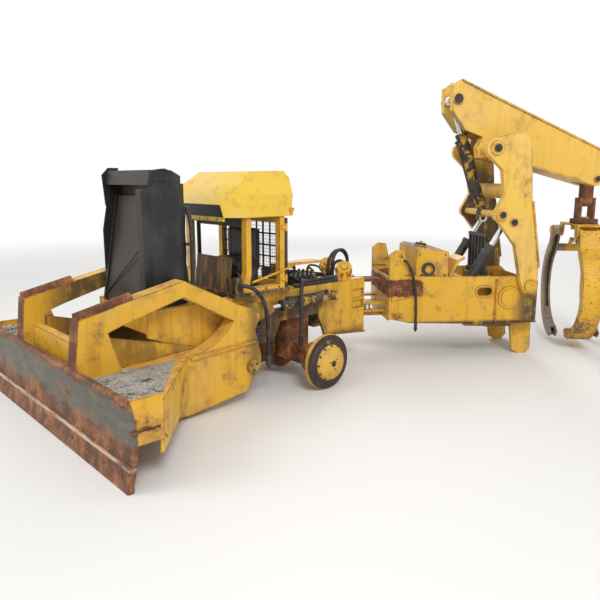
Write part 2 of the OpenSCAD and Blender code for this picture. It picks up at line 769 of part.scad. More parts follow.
module rear_frame() {
  color(yellow) rear() {
    both_sides() difference() {
      slab([[-rear_front, 930], [-520, 930], [-640, rail_z], [-rear_len + 60, rail_z - 20],
        [-rear_len, 840], [-rear_len, 400], [-1480, 370], [-640, 400], [-rear_front, 450]],
        frame_half - side_t, frame_half);
      // Oval hand hole
      bar_y(46, -1420, 730, 0, 600);
      bar_y(46, -1500, 730, 0, 600);
      block([-1500, 0, 684], [-1420, 600, 776]);
    }
    both_sides() {
      // Ring around the hand hole
      difference() {
        union() {
          bar_y(66, -1420, 730, frame_half - 1, frame_half + 10);
          bar_y(66, -1500, 730, frame_half - 1, frame_half + 10);
          block([-1500, frame_half - 1, 664], [-1420, frame_half + 10, 796]);
        }
        bar_y(46, -1420, 730, 0, 600);
        bar_y(46, -1500, 730, 0, 600);
        block([-1500, 0, 684], [-1420, 600, 776]);
      }
      // Round plate behind it
      bar_y(125, -1740, 660, frame_half - 1, frame_half + 12);
      bar_y(96, -1740, 660, frame_half, frame_half + 18);
      // Upright stiffener and the flange along the lower edge
      slab([[-1600, 388], [-1600, 860], [-1582, 860], [-1582, 388]], frame_half - 1, frame_half + 30);
      slab([[-1240, 378], [-1480, 370], [-rear_len + 10, 400], [-rear_len + 10, 384],
        [-1480, 354], [-1240, 362]], frame_half - side_t, frame_half + 34);
      // Doubler worn into the front of the side
      slab([[-430, 640], [-430, 860], [-700, 850], [-720, 700]], frame_half - 1, frame_half + 8);
    }
    // Raised ears at the front of the frame
    both_sides() slab([[-rear_front, 925], [-rear_front, 1140], [-470, 1190], [-560, 1180],
      [-620, 925]], frame_half - side_t - 15, frame_half - 1);
    block([-rear_front - plate_t, -side_in, 430], [-rear_front, side_in, 900]);
    block([-rear_len + 20, -side_in, 420], [-rear_len + 20 + plate_t, side_in, 840]);
    block([-rear_len + 60, -side_in, 400], [-700, side_in, 400 + plate_t]);
    // Seat of the fairlead, narrow where the arch cylinders lean back past it
    block([-1600, -side_in, 850], [-1530, side_in, 850 + plate_t]);
    block([-1531, -262, 850], [-1480, 262, 850 + plate_t]);
    block([-1240, -side_in, 870], [-680, side_in, 870 + plate_t]);
    for (level = rear_lugs) rotate([0, 0, 180]) {
      hinge_lug(level[0], level[1], rear_front + 10, lug_half - 5, hinge_r + pin_gap);
    }
    // Steering rod ears
    both_sides() for (z = [steer_z - 25 - side_gap - 20, steer_z + 25 + side_gap])
      block([-rear_front - 10, steer_eye[1] - 55, z], [steer_eye[0] + 50, steer_eye[1] + 55, z + 20]);
    // Arch foot pins
    both_sides() {
      bar_y(45, -foot_x, foot_z, side_in - 40, arch_inner + arch_t + 20);
      bar_y(70, -foot_x, foot_z, arch_inner + arch_t + side_gap, arch_inner + arch_t + 25);
      // Arch cylinder pins
      bar_y(25, arch_base[0], arch_base[1], 260, side_in + 1);
    }
    // Mounting pads for the missing rear axle
    both_sides() block([-1780, 290, 340], [-1480, frame_half, 401]);
  }
}

module rear_tank() {
  z0 = 890 + seat_gap;
  color(yellow) rear() {
    slab([[-700, z0], [-700, 1190], [-740, 1215], [-1050, 1165], [-1060, 1140], [-1060, z0]],
      -300, 385);
    // Ring on the near side
    difference() {
      bar_y(66, -830, 985, 384, 432);
      bar_y(42, -830, 985, 404, 433);
    }
    // Filler on top
    translate([-800, 180, 1190]) rotate([0, -9, 0]) {
      cylinder(r = 62, h = 36);
      cylinder(r = 74, h = 20);
    }
  }
}

// Tilted cover plate between the tank and the arch
module rear_cover() {
  color(yellow) rear() {
    slab([[-1075, 890 + seat_gap], [-1075, 930], [-1150, 1075], [-1225, 1110], [-1235, 1085],
      [-1170, 1050], [-1110, 930], [-1110, 890 + seat_gap]], 60, 400);
    block([-1078, 60, 870 + 20 + seat_gap], [-1068, 400, 930]);
  }
}

module fairlead_guard() {
  color(dark) rear() {
    block([-1560, -250, 870 + seat_gap], [-1500, 250, 930]);
    for (i = [0:5])
      block([-1545, -240 + 90 * i, 930], [-1515, -210 + 90 * i, 1300]);
    block([-1550, -250, 1300], [-1510, 250, 1330]);
  }
}

module skid_plates() {
  color(yellow) rear() both_sides()
    slab([[-1980, 400 - seat_gap], [-1800, 400 - seat_gap], [-1860, 40], [-1930, 0], [-2020, 0],
      [-2070, 60], [-2060, 340]], 300, 330);
}

// Arch

module arch() {
  color(pale_yellow) rear() {
    both_sides() difference() {
      slab(concat([[-foot_x - 75, foot_z - 50], [-foot_x - 40, foot_z - 90],
        [-foot_x + 60, foot_z - 80], [-foot_x + 110, foot_z + 30], [-1730, 1230]],
        arc(boom_base, 80, -70, 40, 6), [[-1580, 1760], [-1540, 2020]],
        arc([-boom_x, boom_z], 115, -60, 100, 8), [[-1640, 2390]],
        arc([-1740, 2290], 100, 80, 165, 5), [[-1890, 1700], [-2005, 1000]]),
        arch_inner, arch_inner + arch_t);
      bar_y(45 + pin_gap, -foot_x, foot_z, arch_inner - 1, arch_inner + arch_t + 1);
    }
    // Flanges along the uprights' rear edges
    both_sides() slab([[-1886, 1700], [-1902, 1700], [-2017, 1000], [-2001, 1000]],
      arch_inner - 18, arch_inner + arch_t + 18);
    // Pin caps on the outer faces
    both_sides() {
      bar_y(62, boom_base[0], boom_base[1], arch_inner + arch_t - 1, arch_inner + arch_t + 24);
      bar_y(40, boom_base[0], boom_base[1], arch_inner + arch_t, arch_inner + arch_t + 40);
      bar_y(45, arch_eye[0], arch_eye[1], arch_inner + arch_t - 1, arch_inner + arch_t + 14);
      bar_y(72, -boom_x, boom_z, arch_inner + arch_t - 1, arch_inner + arch_t + 16);
    }
    // Cross tube and the pins it carries
    bar_y(80, -1690, 1800, -arch_inner - 10, arch_inner + 10);
    both_sides() {
      bar_y(45, -boom_x, boom_z, boom_half - 60, arch_inner + arch_t + 30);
      bar_y(32, arch_eye[0], arch_eye[1], arch_cyl_y + 33 + side_gap, arch_inner + 1);
    }
    bar_y(35, boom_base[0], boom_base[1], -arch_inner - 1, arch_inner + 1);
  }
}

module arch_barrels() {
  color(dark) rear() both_sides()
    barrel_xz(arch_base, arch_eye, arch_cyl_y, arch_cyl_r, 700, 25, 30);
}

module arch_rods() {
  color(chrome) rear() both_sides()
    rod_xz(arch_base, arch_eye, arch_cyl_y, 30, 200, 50, 66);
}

// Boom

module boom() {
  color(pale_yellow) rear() {
    difference() {
      slab([[-1090, 2900], [-1180, 2960], [-tip_x - 60, 2230], [-tip_x - 110, 2140],
        [-tip_x - 90, 1880], [-tip_x, 1850], [-2010, 2060], [-1560, 2140], [-1400, 2150],
        [-1380, 2260], [-1440, 2370], [-1250, 2440], [-1100, 2640]], -boom_half, boom_half);
      bar_y(45 + pin_gap, -boom_x, boom_z, -boom_half - 1, boom_half + 1);
      // Fork for the cylinder
      block([-1420, -85, 2380], [-1000, 85, 3000]);
      block([-1620, -85, 2100], [-1370, 85, 2450]);
      // Clevis for the swing link
      block([-tip_x - 200, -50 - side_gap, 1700], [-tip_x + 160, 50 + side_gap, 2080]);
    }
    // Flanges along the top and bottom edges
    for (y = [-boom_half - 14, 85])
      slab([[-1190, 2956], [-tip_x - 60, 2236], [-tip_x - 60, 2218], [-1190, 2938]], y, y + boom_half - 71);
    slab([[-1440, 2842], [-tip_x - 60, 2236], [-tip_x - 60, 2218], [-1440, 2824]],
      -boom_half - 13, boom_half + 13);
    for (y = [-boom_half - 14, 85])
      slab([[-1640, 2124], [-2010, 2058], [-2560, 1912], [-2560, 1928], [-2010, 2074],
        [-1640, 2140]], y, y + boom_half - 71);
    // Bosses beside the cylinder eye
    both_sides() bar_y(55, boom_eye[0], boom_eye[1], 50 + side_gap, boom_half + 25);
    bar_y(35, -tip_x, tip_z, -boom_half - 25, boom_half + 25);
  }
}

module boom_barrel() {
  color(yellow) rear()
    barrel_xz(boom_base, boom_eye, 0, boom_cyl_r, 900, 35, boom_rod_r);
}

module boom_rod() {
  color(chrome) rear()
    rod_xz(boom_base, boom_eye, 0, boom_rod_r, 200, 60, 100);
}

// Grapple

module swing_link() {
  color(rust) rear() difference() {
    union() {
      bar_y(75, -tip_x, tip_z, -50, 50);
      block([-tip_x - 60, -50, tip_z - 260], [-tip_x + 60, 50, tip_z]);
      translate([-tip_x, 0, tip_z - 260]) rotate([0, 90, 0]) cylinder(r = 50, h = 120, center = true);
    }
    bar_y(35 + pin_gap, -tip_x, tip_z, -100, 100);
    translate([-tip_x, 0, tip_z - 260]) rotate([0, 90, 0])
      cylinder(r = 30 + pin_gap, h = 200, center = true);
  }
}

module yoke() {
  color(rust) rear() translate([-tip_x, 0, 0]) {
    translate([0, 0, tip_z - 260]) rotate([0, 90, 0]) cylinder(r = 30, h = 190, center = true);
    for (side = [-1, 1])
      block([side * 80 - 13, -60, tong_z + 140], [side * 80 + 13, 60, tip_z - 210]);
    translate([0, 0, tong_z + 105]) difference() {
      cylinder(r = 150, h = 45);
      translate([0, 0, -1]) cylinder(r = 40 + pin_gap, h = 50);
    }
  }
}

tong_half = 104;
ear_t = 22;

module grapple_place() {
  rear() translate([-tip_x, 0, 0]) rotate([0, 0, grapple_deg]) children();
}

// Plate in the tongs' plane, from an outline in Y and Z about the pivots' height
module tong_slice(x0, x1, outline) {
  translate([x0, 0, tong_z]) rotate([90, 0, 90]) linear_extrude(x1 - x0) polygon(outline);
}

// Round bar along the tongs' pins
module bar_x(r, y, z, x0, x1) {
  translate([x0, y, tong_z + z]) rotate([0, 90, 0]) cylinder(r = r, h = x1 - x0);
}

// Ear of the head around one tong pivot
module head_ear(side, x0) {
  tong_slice(x0, x0 + ear_t, [[side * (tong_y - 75), 76], [side * (tong_y + 75), 76],
    [side * (tong_y + 60), -30], [side * (tong_y + 25), -64], [side * (tong_y - 25), -64],
    [side * (tong_y - 60), -30]]);
}

module grapple_head() {
  inner = tong_half + side_gap;
  outer = prong_x - side_gap;
  reach = tong_y + 75;
  color(yellow) grapple_place() {
    bar_z = tong_z + 60;
    translate([0, 0, bar_z]) cylinder(r = 40, h = 110);
    translate([0, 0, tong_z + 156]) cylinder(r = 58, h = 16);
    translate([0, 0, tong_z + 85]) cylinder(r = 150, h = 14);
    translate([0, 0, tong_z + 75]) linear_extrude(20)
      polygon([[-inner - ear_t, reach], [-inner - ear_t, 40], [-outer, -60], [-outer, -reach],
        [outer, -reach], [outer, -60], [inner + ear_t, 40], [inner + ear_t, reach]]);
    for (x = [-inner - ear_t, inner]) head_ear(1, x);
    for (x = [-outer, outer - ear_t]) head_ear(-1, x);
    // Cross webs under the top plate
    for (y = [-90, 78])
      translate([-inner, y, tong_z + 20]) cube([2 * inner, 12, 56]);
    for (side = [-1, 1]) {
      // Pins of the single tong end short of the cylinder, those of the fork pass the prongs
      bar_x(32, tong_y, 0, side > 0 ? 62 : -inner - ear_t - 1, side > 0 ? inner + ear_t + 1 : -62);
      bar_x(32, -tong_y, 0, side > 0 ? outer - 1 : -prong_x - prong_w - 2,
        side > 0 ? prong_x + prong_w + 2 : -outer + 1);
      bar_x(50, -tong_y, 0, side > 0 ? prong_x + prong_w + side_gap : -prong_x - prong_w - 20,
        side > 0 ? prong_x + prong_w + 20 : -prong_x - prong_w - side_gap);
      bar_x(32, -tong_y, 0, side > 0 ? prong_x + prong_w : -prong_x - prong_w - 10,
        side > 0 ? prong_x + prong_w + 10 : -prong_x - prong_w);
    }
  }
}

// Centre of the tongs' curve and the cylinder's pin, about the middle of the head
tong_c = [40, -660];
tong_ear = [270, -120];
tong_top = [[170, 20], [190, 50], [250, 62], [290, 34]];

function tong_outline(a1, tip) = concat(tong_top, arc(tong_c, tong_r + 55, 58, a1, 20),
  [[tong_c[0] + (tong_r - 5) * cos(a1 - tip), tong_c[1] + (tong_r - 5) * sin(a1 - tip)]],
  arc(tong_c, tong_r - 60, a1 + 4, 56, 20), [[190, -60]]);

// Outer wall of a tong, from its tip up to its pivot
function tong_spine(a1) = concat([[288, 36]], arc(tong_c, tong_r + 54, 58, a1, 20),
  arc(tong_c, tong_r + 32, a1, 58, 20), [[266, 32]]);

// Single tong: two cheeks behind a broad outer wall
module single_tong() {
  difference() {
    union() {
      for (x = [-tong_half, tong_half - 26]) tong_slice(x, x + 26, tong_outline(-96, 5));
      tong_slice(-tong_half + 1, tong_half - 1, tong_spine(-92));
      for (x = [-tong_half, tong_half - 34]) bar_x(62, tong_y, 0, x, x + 34);
      // Wear plate inside the tip
      tong_slice(-tong_half + 1, tong_half - 1,
        concat(arc(tong_c, tong_r - 40, -55, -92, 8), arc(tong_c, tong_r - 58, -92, -55, 8)));
    }
    bar_x(32 + pin_gap, tong_y, 0, -200, 200);
  }
  bar_x(20, tong_ear[0], tong_ear[1], -80, 80);
  for (x = [-tong_half - 5, tong_half]) bar_x(34, tong_ear[0], tong_ear[1], x, x + 5);
}

// Forked tong: two box prongs, joined by a tube that carries the cylinder's ears
fork_tube = [340, -215];
module forked_tong() {
  difference() {
    union() {
      for (side = [-1, 1]) {
        x0 = side > 0 ? prong_x : -prong_x - prong_w;
        tong_slice(x0, x0 + 22, tong_outline(-92, 5));
        tong_slice(x0 + prong_w - 22, x0 + prong_w, tong_outline(-92, 5));
        tong_slice(x0 + 1, x0 + prong_w - 1, tong_spine(-88));
        tong_slice(x0 + 1, x0 + prong_w - 1,
          concat(arc(tong_c, tong_r - 40, -40, -88, 8), arc(tong_c, tong_r - 58, -88, -40, 8)));
        bar_x(60, tong_y, 0, x0, x0 + prong_w);
      }
      bar_x(46, fork_tube[0], fork_tube[1], -prong_x - 1, prong_x + 1);
      for (x = [-36 - side_gap - 20, 36 + side_gap])
        tong_slice(x, x + 20, [[240, -132], [238, -108], [262, -88], [290, -94],
          [fork_tube[0] + 30, fork_tube[1] + 20], [fork_tube[0] - 20, fork_tube[1] - 30]]);
    }
    for (side = [-1, 1])
      bar_x(32 + pin_gap, tong_y, 0, side > 0 ? prong_x - 1 : -prong_x - prong_w - 1,
        side > 0 ? prong_x + prong_w + 1 : -prong_x + 1);
  }
}

module tong_left() {
  color(yellow) grapple_place() single_tong();
}

module tong_right() {
  color(yellow) grapple_place() mirror([0, 1, 0]) forked_tong();
}

module tong_barrel() {
  color(dark) grapple_place() translate([0, tong_ear[0], tong_z + tong_ear[1]]) difference() {
    union() {
      rotate([0, 90, 0]) cylinder(r = 38, h = 72, center = true);
      rotate([90, 0, 0]) cylinder(r = 34, h = 380);
      translate([0, -340, 0]) rotate([90, 0, 0]) cylinder(r = 40, h = 40);
    }
    rotate([0, 90, 0]) cylinder(r = 20 + pin_gap, h = 100, center = true);
    translate([0, -60, 0]) rotate([90, 0, 0]) cylinder(r = 18 + pin_gap, h = 400);
  }
}

module tong_rod() {
  color(chrome) grapple_place() translate([0, -tong_ear[0], tong_z + tong_ear[1]]) difference() {
    union() {
      translate([0, 25, 0]) rotate([-90, 0, 0]) cylinder(r = 18, h = 390);
      rotate([0, 90, 0]) cylinder(r = 32, h = 72, center = true);
    }
    rotate([0, 90, 0]) cylinder(r = 16, h = 100, center = true);
  }
}

front_frame();
hinge_pins();
step_block();
axle_housing();
hub_left();
hub_right();
radiator_core();
radiator_guard();
cab_floor();
cab_posts();
cab_roof();
cab_screens();
operator_seat();
control_valves();
transmission_case();
deck_bracket();
deck_beam();
round_drums();
stack_pipe();
deck_hoses();
hose_front();
hose_middle();
hose_rear();
moldboard();
blade_box();
arm_left();
arm_right();
lift_barrels();
lift_rods();
steer_barrel_left();
steer_rod_left();
steer_barrel_right();
steer_rod_right();
rear_frame();
rear_tank();
rear_cover();
fairlead_guard();
skid_plates();
arch();
arch_barrels();
arch_rods();
boom();
boom_barrel();
boom_rod();
swing_link();
yoke();
grapple_head();
tong_left();
tong_right();
tong_barrel();
tong_rod();
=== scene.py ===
"""Looks of a stripped articulated grapple skidder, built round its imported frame."""

import json
import math

import bmesh
import bpy
import numpy as np
from bpy.props import FloatProperty, FloatVectorProperty, PointerProperty
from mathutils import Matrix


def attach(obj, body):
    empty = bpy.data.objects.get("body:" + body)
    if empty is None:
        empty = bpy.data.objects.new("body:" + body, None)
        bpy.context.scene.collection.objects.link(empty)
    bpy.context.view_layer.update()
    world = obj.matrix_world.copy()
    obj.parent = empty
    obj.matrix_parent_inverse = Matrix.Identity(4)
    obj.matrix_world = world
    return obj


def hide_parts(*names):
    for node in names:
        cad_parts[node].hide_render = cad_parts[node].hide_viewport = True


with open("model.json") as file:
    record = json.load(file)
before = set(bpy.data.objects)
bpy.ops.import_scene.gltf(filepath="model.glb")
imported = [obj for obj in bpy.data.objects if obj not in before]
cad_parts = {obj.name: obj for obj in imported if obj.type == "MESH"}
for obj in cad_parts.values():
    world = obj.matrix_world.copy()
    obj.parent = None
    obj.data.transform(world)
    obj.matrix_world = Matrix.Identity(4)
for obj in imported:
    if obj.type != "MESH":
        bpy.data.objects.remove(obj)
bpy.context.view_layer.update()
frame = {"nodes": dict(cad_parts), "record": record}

bl_info = {
    "name": "Stripped Grapple Skidder",
    "version": (1, 0, 0),
    "blender": (4, 5, 0),
    "location": "View3D > Sidebar > Skidder",
    "description": "Dresses the frame of a worn grapple skidder with its finishes and small parts",
    "category": "Object",
}

JOINTS = {joint["name"]: joint for joint in frame["record"]["behaviour"]["joints"]}
HINGE = np.array(JOINTS["steering"]["pos_m"][:2] + [0.0])
FORWARD = np.array([1.0, 0.0, 0.0])
LEFT = np.array([0.0, 1.0, 0.0])
UP = np.array([0.0, 0.0, 1.0])
SIDES = {1: "left", -1: "right"}
REAR_TURN = math.atan2(-JOINTS["arch_lean"]["axis"][0], JOINTS["arch_lean"]["axis"][1])


# Directions and places on the machine

def unit(way):
    """Direction of length one."""
    return np.asarray(way, float) / np.linalg.norm(way)


def circle(count):
    """Evenly spaced angles round a circle, from 0."""
    return np.linspace(0, 2 * math.pi, count, endpoint=False)


def turned_level(points, turn):
    """Points or directions turned by an angle about the upright axis."""
    points = np.asarray(points, float)
    cos, sin = math.cos(turn), math.sin(turn)
    x, y = points[..., 0], points[..., 1]
    return np.stack([x * cos - y * sin, x * sin + y * cos, points[..., 2]], -1)


def front(points):
    """Points measured forward, left and up from the hinge, in metres, in the front frame."""
    return np.asarray(points, float) + HINGE


def rear(points):
    """Points in the rear frame's own directions, turned about the hinge by the rest angle."""
    return turned_level(points, REAR_TURN) + HINGE


# Shapes

def curve(points, steps=6):
    """Smooth line through chosen points: each span is the cubic of its four nearest points."""
    points = np.asarray(points, float)
    padded = np.concatenate([2 * points[:1] - points[1:2], points, 2 * points[-1:] - points[-2:-1]])
    t = np.linspace(0, 1, steps, endpoint=False)[:, None]
    spans = [0.5 * (2 * b + (c - a) * t + (2 * a - 5 * b + 4 * c - d) * t ** 2
        + (3 * b - a - 3 * c + d) * t ** 3) for a, b, c, d in zip(padded, padded[1:], padded[2:], padded[3:])]
    return np.concatenate([*spans, points[-1:]])


def waves(points, scale, seed):
    """Uneven values from -1 to 1 at points: the mean of sines along directions drawn at random."""
    draw = np.random.default_rng(seed)
    ways = draw.normal(size=(9, 3))
    ways /= np.linalg.norm(ways, axis=1)[:, None]
    ways *= draw.uniform(0.6, 2.2, (9, 1)) / scale
    return np.sin(np.asarray(points) @ ways.T + draw.uniform(0, 2 * math.pi, 9)).mean(-1) * 1.8


def square_grid(count):
    """Faces of a square grid of points, and the points round its border in order."""
    cells = (np.arange(count - 1)[:, None] * count + np.arange(count - 1)).ravel()
    quads = np.stack([cells, cells + count, cells + count + 1, cells + 1], -1)
    border = np.concatenate([np.arange(count), np.arange(1, count) * count + count - 1,
        count * count - 2 - np.arange(count - 1), np.arange(count - 2, 0, -1) * count])
    return quads, border


class Shape:
    """Points and faces gathered from closed solids, which become one piece."""

    def __init__(self):
        self.points, self.faces, self.count = [], [], 0

    def add(self, points, faces):
        points = np.asarray(points, float).reshape(-1, 3)
        self.points.append(points)
        self.faces += [[self.count + i for i in face] for face in faces]
        self.count += len(points)
        return self

    def loft(self, rings, closed=False):
        """Solid through rings of equally many points, capped at both ends or joined end to start."""
        count, sides = len(rings), len(rings[0])
        walls = [(sides * i + k, sides * i + (k + 1) % sides, sides * ((i + 1) % count) + (k + 1) % sides,
            sides * ((i + 1) % count) + k) for i in range(count - 1 + closed) for k in range(sides)]
        ends = [list(range(sides))[::-1], [sides * (count - 1) + k for k in range(sides)]]
        return self.add(np.concatenate(rings), walls if closed else walls + ends)

    def box(self, low, high):
        (a, b, c), (d, e, f) = low, high
        return self.loft([np.array([(a, b, z), (d, b, z), (d, e, z), (a, e, z)]) for z in (c, f)])

    def plate(self, outline, start, end, axis=1):
        """Flat outline drawn in the two other axes, made thick along one axis."""
        return self.loft([np.insert(np.asarray(outline, float), axis, where, axis=1)
            for where in (start, end)])

    def turned(self, start, axis, profile, sides=20, closed=False):
        """Solid of revolution: distances along the axis from the start, each with its radius."""
        axis = unit(axis)
        side = unit(np.cross(axis, UP if abs(axis[2]) < 0.8 else FORWARD))
        turn = circle(sides)[:, None]
        rim = side * np.cos(turn) + np.cross(axis, side) * np.sin(turn)
        rings = [np.asarray(start) + axis * along + rim * radius for along, radius in profile]
        return self.loft(rings, closed)

    def bar(self, start, axis, radius, length, sides=6):
        """Straight bar from its start along an axis: six-sided like a nut, or round."""
        return self.turned(start, axis, [(0, radius), (length, radius)], sides)

    def sweep(self, path, radius, sides):
        """Tube along a path, without twist."""
        path = np.asarray(path, float)
        ahead = np.gradient(path, axis=0)
        ahead /= np.linalg.norm(ahead, axis=1)[:, None]
        side = np.cross(ahead[0], (0.36, 0.48, 0.8))
        turn = circle(sides)[:, None]
        rings = []
        for place, way in zip(path, ahead):
            side = unit(side - way * side.dot(way))
            rings.append(place + radius * (side * np.cos(turn) + np.cross(way, side) * np.sin(turn)))
        return self.loft(rings)

    def pipe(self, points, radius, sides=12):
        """Tube along the smooth line through chosen points."""
        return self.sweep(curve(points), radius, sides)

    def bolt(self, place, axis, size):
        """Hexagon head on its washer."""
        self.bar(place, axis, 1.15 * size, 0.16 * size, 16)
        return self.turned(np.asarray(place) + np.asarray(axis) * 0.15 * size, axis,
            [(0, 0.9 * size), (0.52 * size, 0.9 * size), (0.62 * size, 0.72 * size)], 6)

    def bolts(self, places, axis, size):
        for place in places:
            self.bolt(place, axis, size)
        return self

    def bolt_circle(self, centre, axis, first, second, angles, radius, size):
        """Bolts on a circle, at angles that go from a first direction towards a second one."""
        rays = [first * math.cos(angle) + second * math.sin(angle) for angle in angles]
        return self.bolts([centre + ray * radius for ray in rays], axis, size)

    def make(self, name, body, finish, place=front):
        """One object from the gathered solids, which rides on a body."""
        mesh = bpy.data.meshes.new(name)
        mesh.from_pydata(place(np.concatenate(self.points)), [], self.faces)
        work = bmesh.new()
        work.from_mesh(mesh)
        bmesh.ops.recalc_face_normals(work, faces=work.faces)
        work.to_mesh(mesh)
        work.free()
        mesh.polygons.foreach_set("use_smooth", np.ones(len(mesh.polygons), bool))
        mesh.set_sharp_from_angle(angle=math.radians(34))
        piece = bpy.data.objects.new(name, mesh)
        bpy.context.collection.objects.link(piece)
        mesh.materials.append(FINISHES[finish])
        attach(piece, body)
        return piece


# Settings that a user would change

class PaintSettings(bpy.types.PropertyGroup):
    golden: FloatVectorProperty(name="Golden paint", description="Frame and blade arms",
        subtype="COLOR", size=3, min=0, max=1, default=(0.72, 0.40, 0.028))
    pale: FloatVectorProperty(name="Pale paint", description="Faded paint of the boom and arch",
        subtype="COLOR", size=3, min=0, max=1, default=(0.80, 0.50, 0.085))
    roof: FloatVectorProperty(name="Roof paint", description="Lightest paint, on the cab's roof",
        subtype="COLOR", size=3, min=0, max=1, default=(0.80, 0.53, 0.055))
    rust: FloatVectorProperty(name="Rust", description="Main colour of the rust",
        subtype="COLOR", size=3, min=0, max=1, default=(0.20, 0.072, 0.028))
    soot: FloatVectorProperty(name="Soot", description="Dark grease and old black paint",
        subtype="COLOR", size=3, min=0, max=1, default=(0.021, 0.020, 0.020))


class StageSettings(bpy.types.PropertyGroup):
    lens: FloatProperty(name="Lens", description="Focal length for a 36 mm wide picture",
        unit="CAMERA", min=10, max=200, default=36.4)
    floor_size: FloatProperty(name="Floor", description="Side of the floor",
        subtype="DISTANCE", min=10, max=200, default=80.0)
    key_power: FloatProperty(name="Key light", description="Power of the main lamp",
        subtype="POWER", min=0, max=5000, default=820.0)


# Shader maths

class Signal:
    """A shader socket that takes part in Python sums and products."""

    def __init__(self, graph, socket):
        self.graph = graph
        self.socket = socket

    def _math(self, operation, first, second=None):
        values = {0: first} if second is None else {0: first, 1: second}
        return self.graph.node("ShaderNodeMath", {"operation": operation}, values)

    def __add__(self, other):
        return self._math("ADD", self, other)

    def __sub__(self, other):
        return self._math("SUBTRACT", self, other)

    def __rsub__(self, other):
        return self._math("SUBTRACT", other, self)

    def __mul__(self, other):
        return self._math("MULTIPLY", self, other)

    def __pow__(self, other):
        return self._math("POWER", self, other)

    def most(self, other):
        return self._math("MAXIMUM", self, other)

    def away(self):
        return self._math("ABSOLUTE", self)

    def step(self, low, high):
        """0 below low, 1 above high and a smooth rise between; falls where low is the larger."""
        settings = {"interpolation_type": "SMOOTHSTEP"}
        return self.graph.node("ShaderNodeMapRange", settings, {0: self, 1: low, 2: high})

    def dot(self, way):
        """Length of a vector along a direction."""
        settings = {"operation": "DOT_PRODUCT"}
        return self.graph.node("ShaderNodeVectorMath", settings, {0: self, 1: way}, "Value")


class Tree:
    """The node tree of a material or a world, and the nodes that are added to it."""

    def __init__(self, block):
        block.use_nodes = True
        self.block = block
        self.tree = block.node_tree

    def link(self, value, socket):
        if isinstance(value, Signal):
            self.tree.links.new(value.socket, socket)
        elif hasattr(value, "__len__") and socket.type == "RGBA" and len(value) == 3:
            socket.default_value = (*value, 1.0)
        else:
            socket.default_value = value

    def node(self, kind, settings, values, output=0):
        """Any node, from its type, its settings and the values or links of its sockets."""
        made = self.tree.nodes.new(kind)
        for key, setting in settings.items():
            setattr(made, key, setting)
        for key, value in values.items():
            self.link(value, made.inputs[key])
        return Signal(self, made.outputs[output])


class Graph(Tree):
    """A material, with the object's own coordinates for its patterns and masks."""

    def __init__(self, name):
        super().__init__(bpy.data.materials.new(name))
        self.shader = self.tree.nodes["Principled BSDF"]
        self.place = self.node("ShaderNodeTexCoord", {}, {}, "Object")
        self.facing = self.node("ShaderNodeTexCoord", {}, {}, "Normal")

    def noise(self, scale, detail=4.0, rough=0.55, stretch=(1, 1, 1), shift=0.0):
        """Noise on the object's own coordinates, stretched by a factor for each axis."""
        where = self.node("ShaderNodeMapping", {}, {
            "Vector": self.place, "Scale": stretch, "Location": (shift, shift * 1.7, shift * 0.6)})
        return self.node("ShaderNodeTexNoise", {}, {
            "Vector": where, "Scale": scale, "Detail": detail, "Roughness": rough})

    def along(self, way, turn=0.0):
        """Distance from the hinge along a level or upright direction, turned by an angle."""
        way = turned_level(way, turn)
        return self.place.dot(way.tolist()) - float(HINGE.dot(way))

    def facing_way(self, way, turn=0.0):
        """1 where a face looks along a direction, 0 where it is square to it."""
        return self.facing.dot(turned_level(way, turn).tolist())

    def mix(self, factor, first, second):
        """Colour that goes from the first to the second as the factor rises."""
        return self.node("ShaderNodeMix", {"data_type": "RGBA"}, {0: factor, 6: first, 7: second}, 2)

    def edges(self, radius):
        """1 on sharp edges and 0 on flat faces, from the turn of a bevelled normal."""
        bevel = self.node("ShaderNodeBevel", {"samples": 4}, {"Radius": radius})
        flat = self.node("ShaderNodeNewGeometry", {}, {}, "Normal")
        return (1.0 - bevel.dot(flat)).step(0.01, 0.16)

    def bump(self, height, strength, distance):
        values = {"Strength": strength, "Distance": distance, "Height": height}
        self.link(self.node("ShaderNodeBump", {}, values), self.shader.inputs["Normal"])

    def finish(self, colour, roughness, metallic=0.0, shine=0.5):
        self.link(colour, self.shader.inputs["Base Color"])
        self.link(roughness, self.shader.inputs["Roughness"])
        self.link(metallic, self.shader.inputs["Metallic"])
        self.link(shine, self.shader.inputs["Specular IOR Level"])
        return self.block


def rust_colour(graph, shift=0.0):
    """Brown to orange rust, in patches of several sizes."""
    rust = bpy.context.scene.skidder_paint.rust
    dark = [0.42 * c for c in rust]
    orange = (min(1, 2.3 * rust[0]), 2.6 * rust[1], 2.0 * rust[2])
    patches = graph.noise(7.0, 6.0, 0.65, shift=3.1 + shift)
    grains = graph.noise(60.0, 4.0, 0.7, shift=1.3 + shift)
    mixed = graph.mix(patches.step(0.36, 0.62), dark, rust[:])
    return graph.mix((grains * patches).step(0.24, 0.42), mixed, orange)


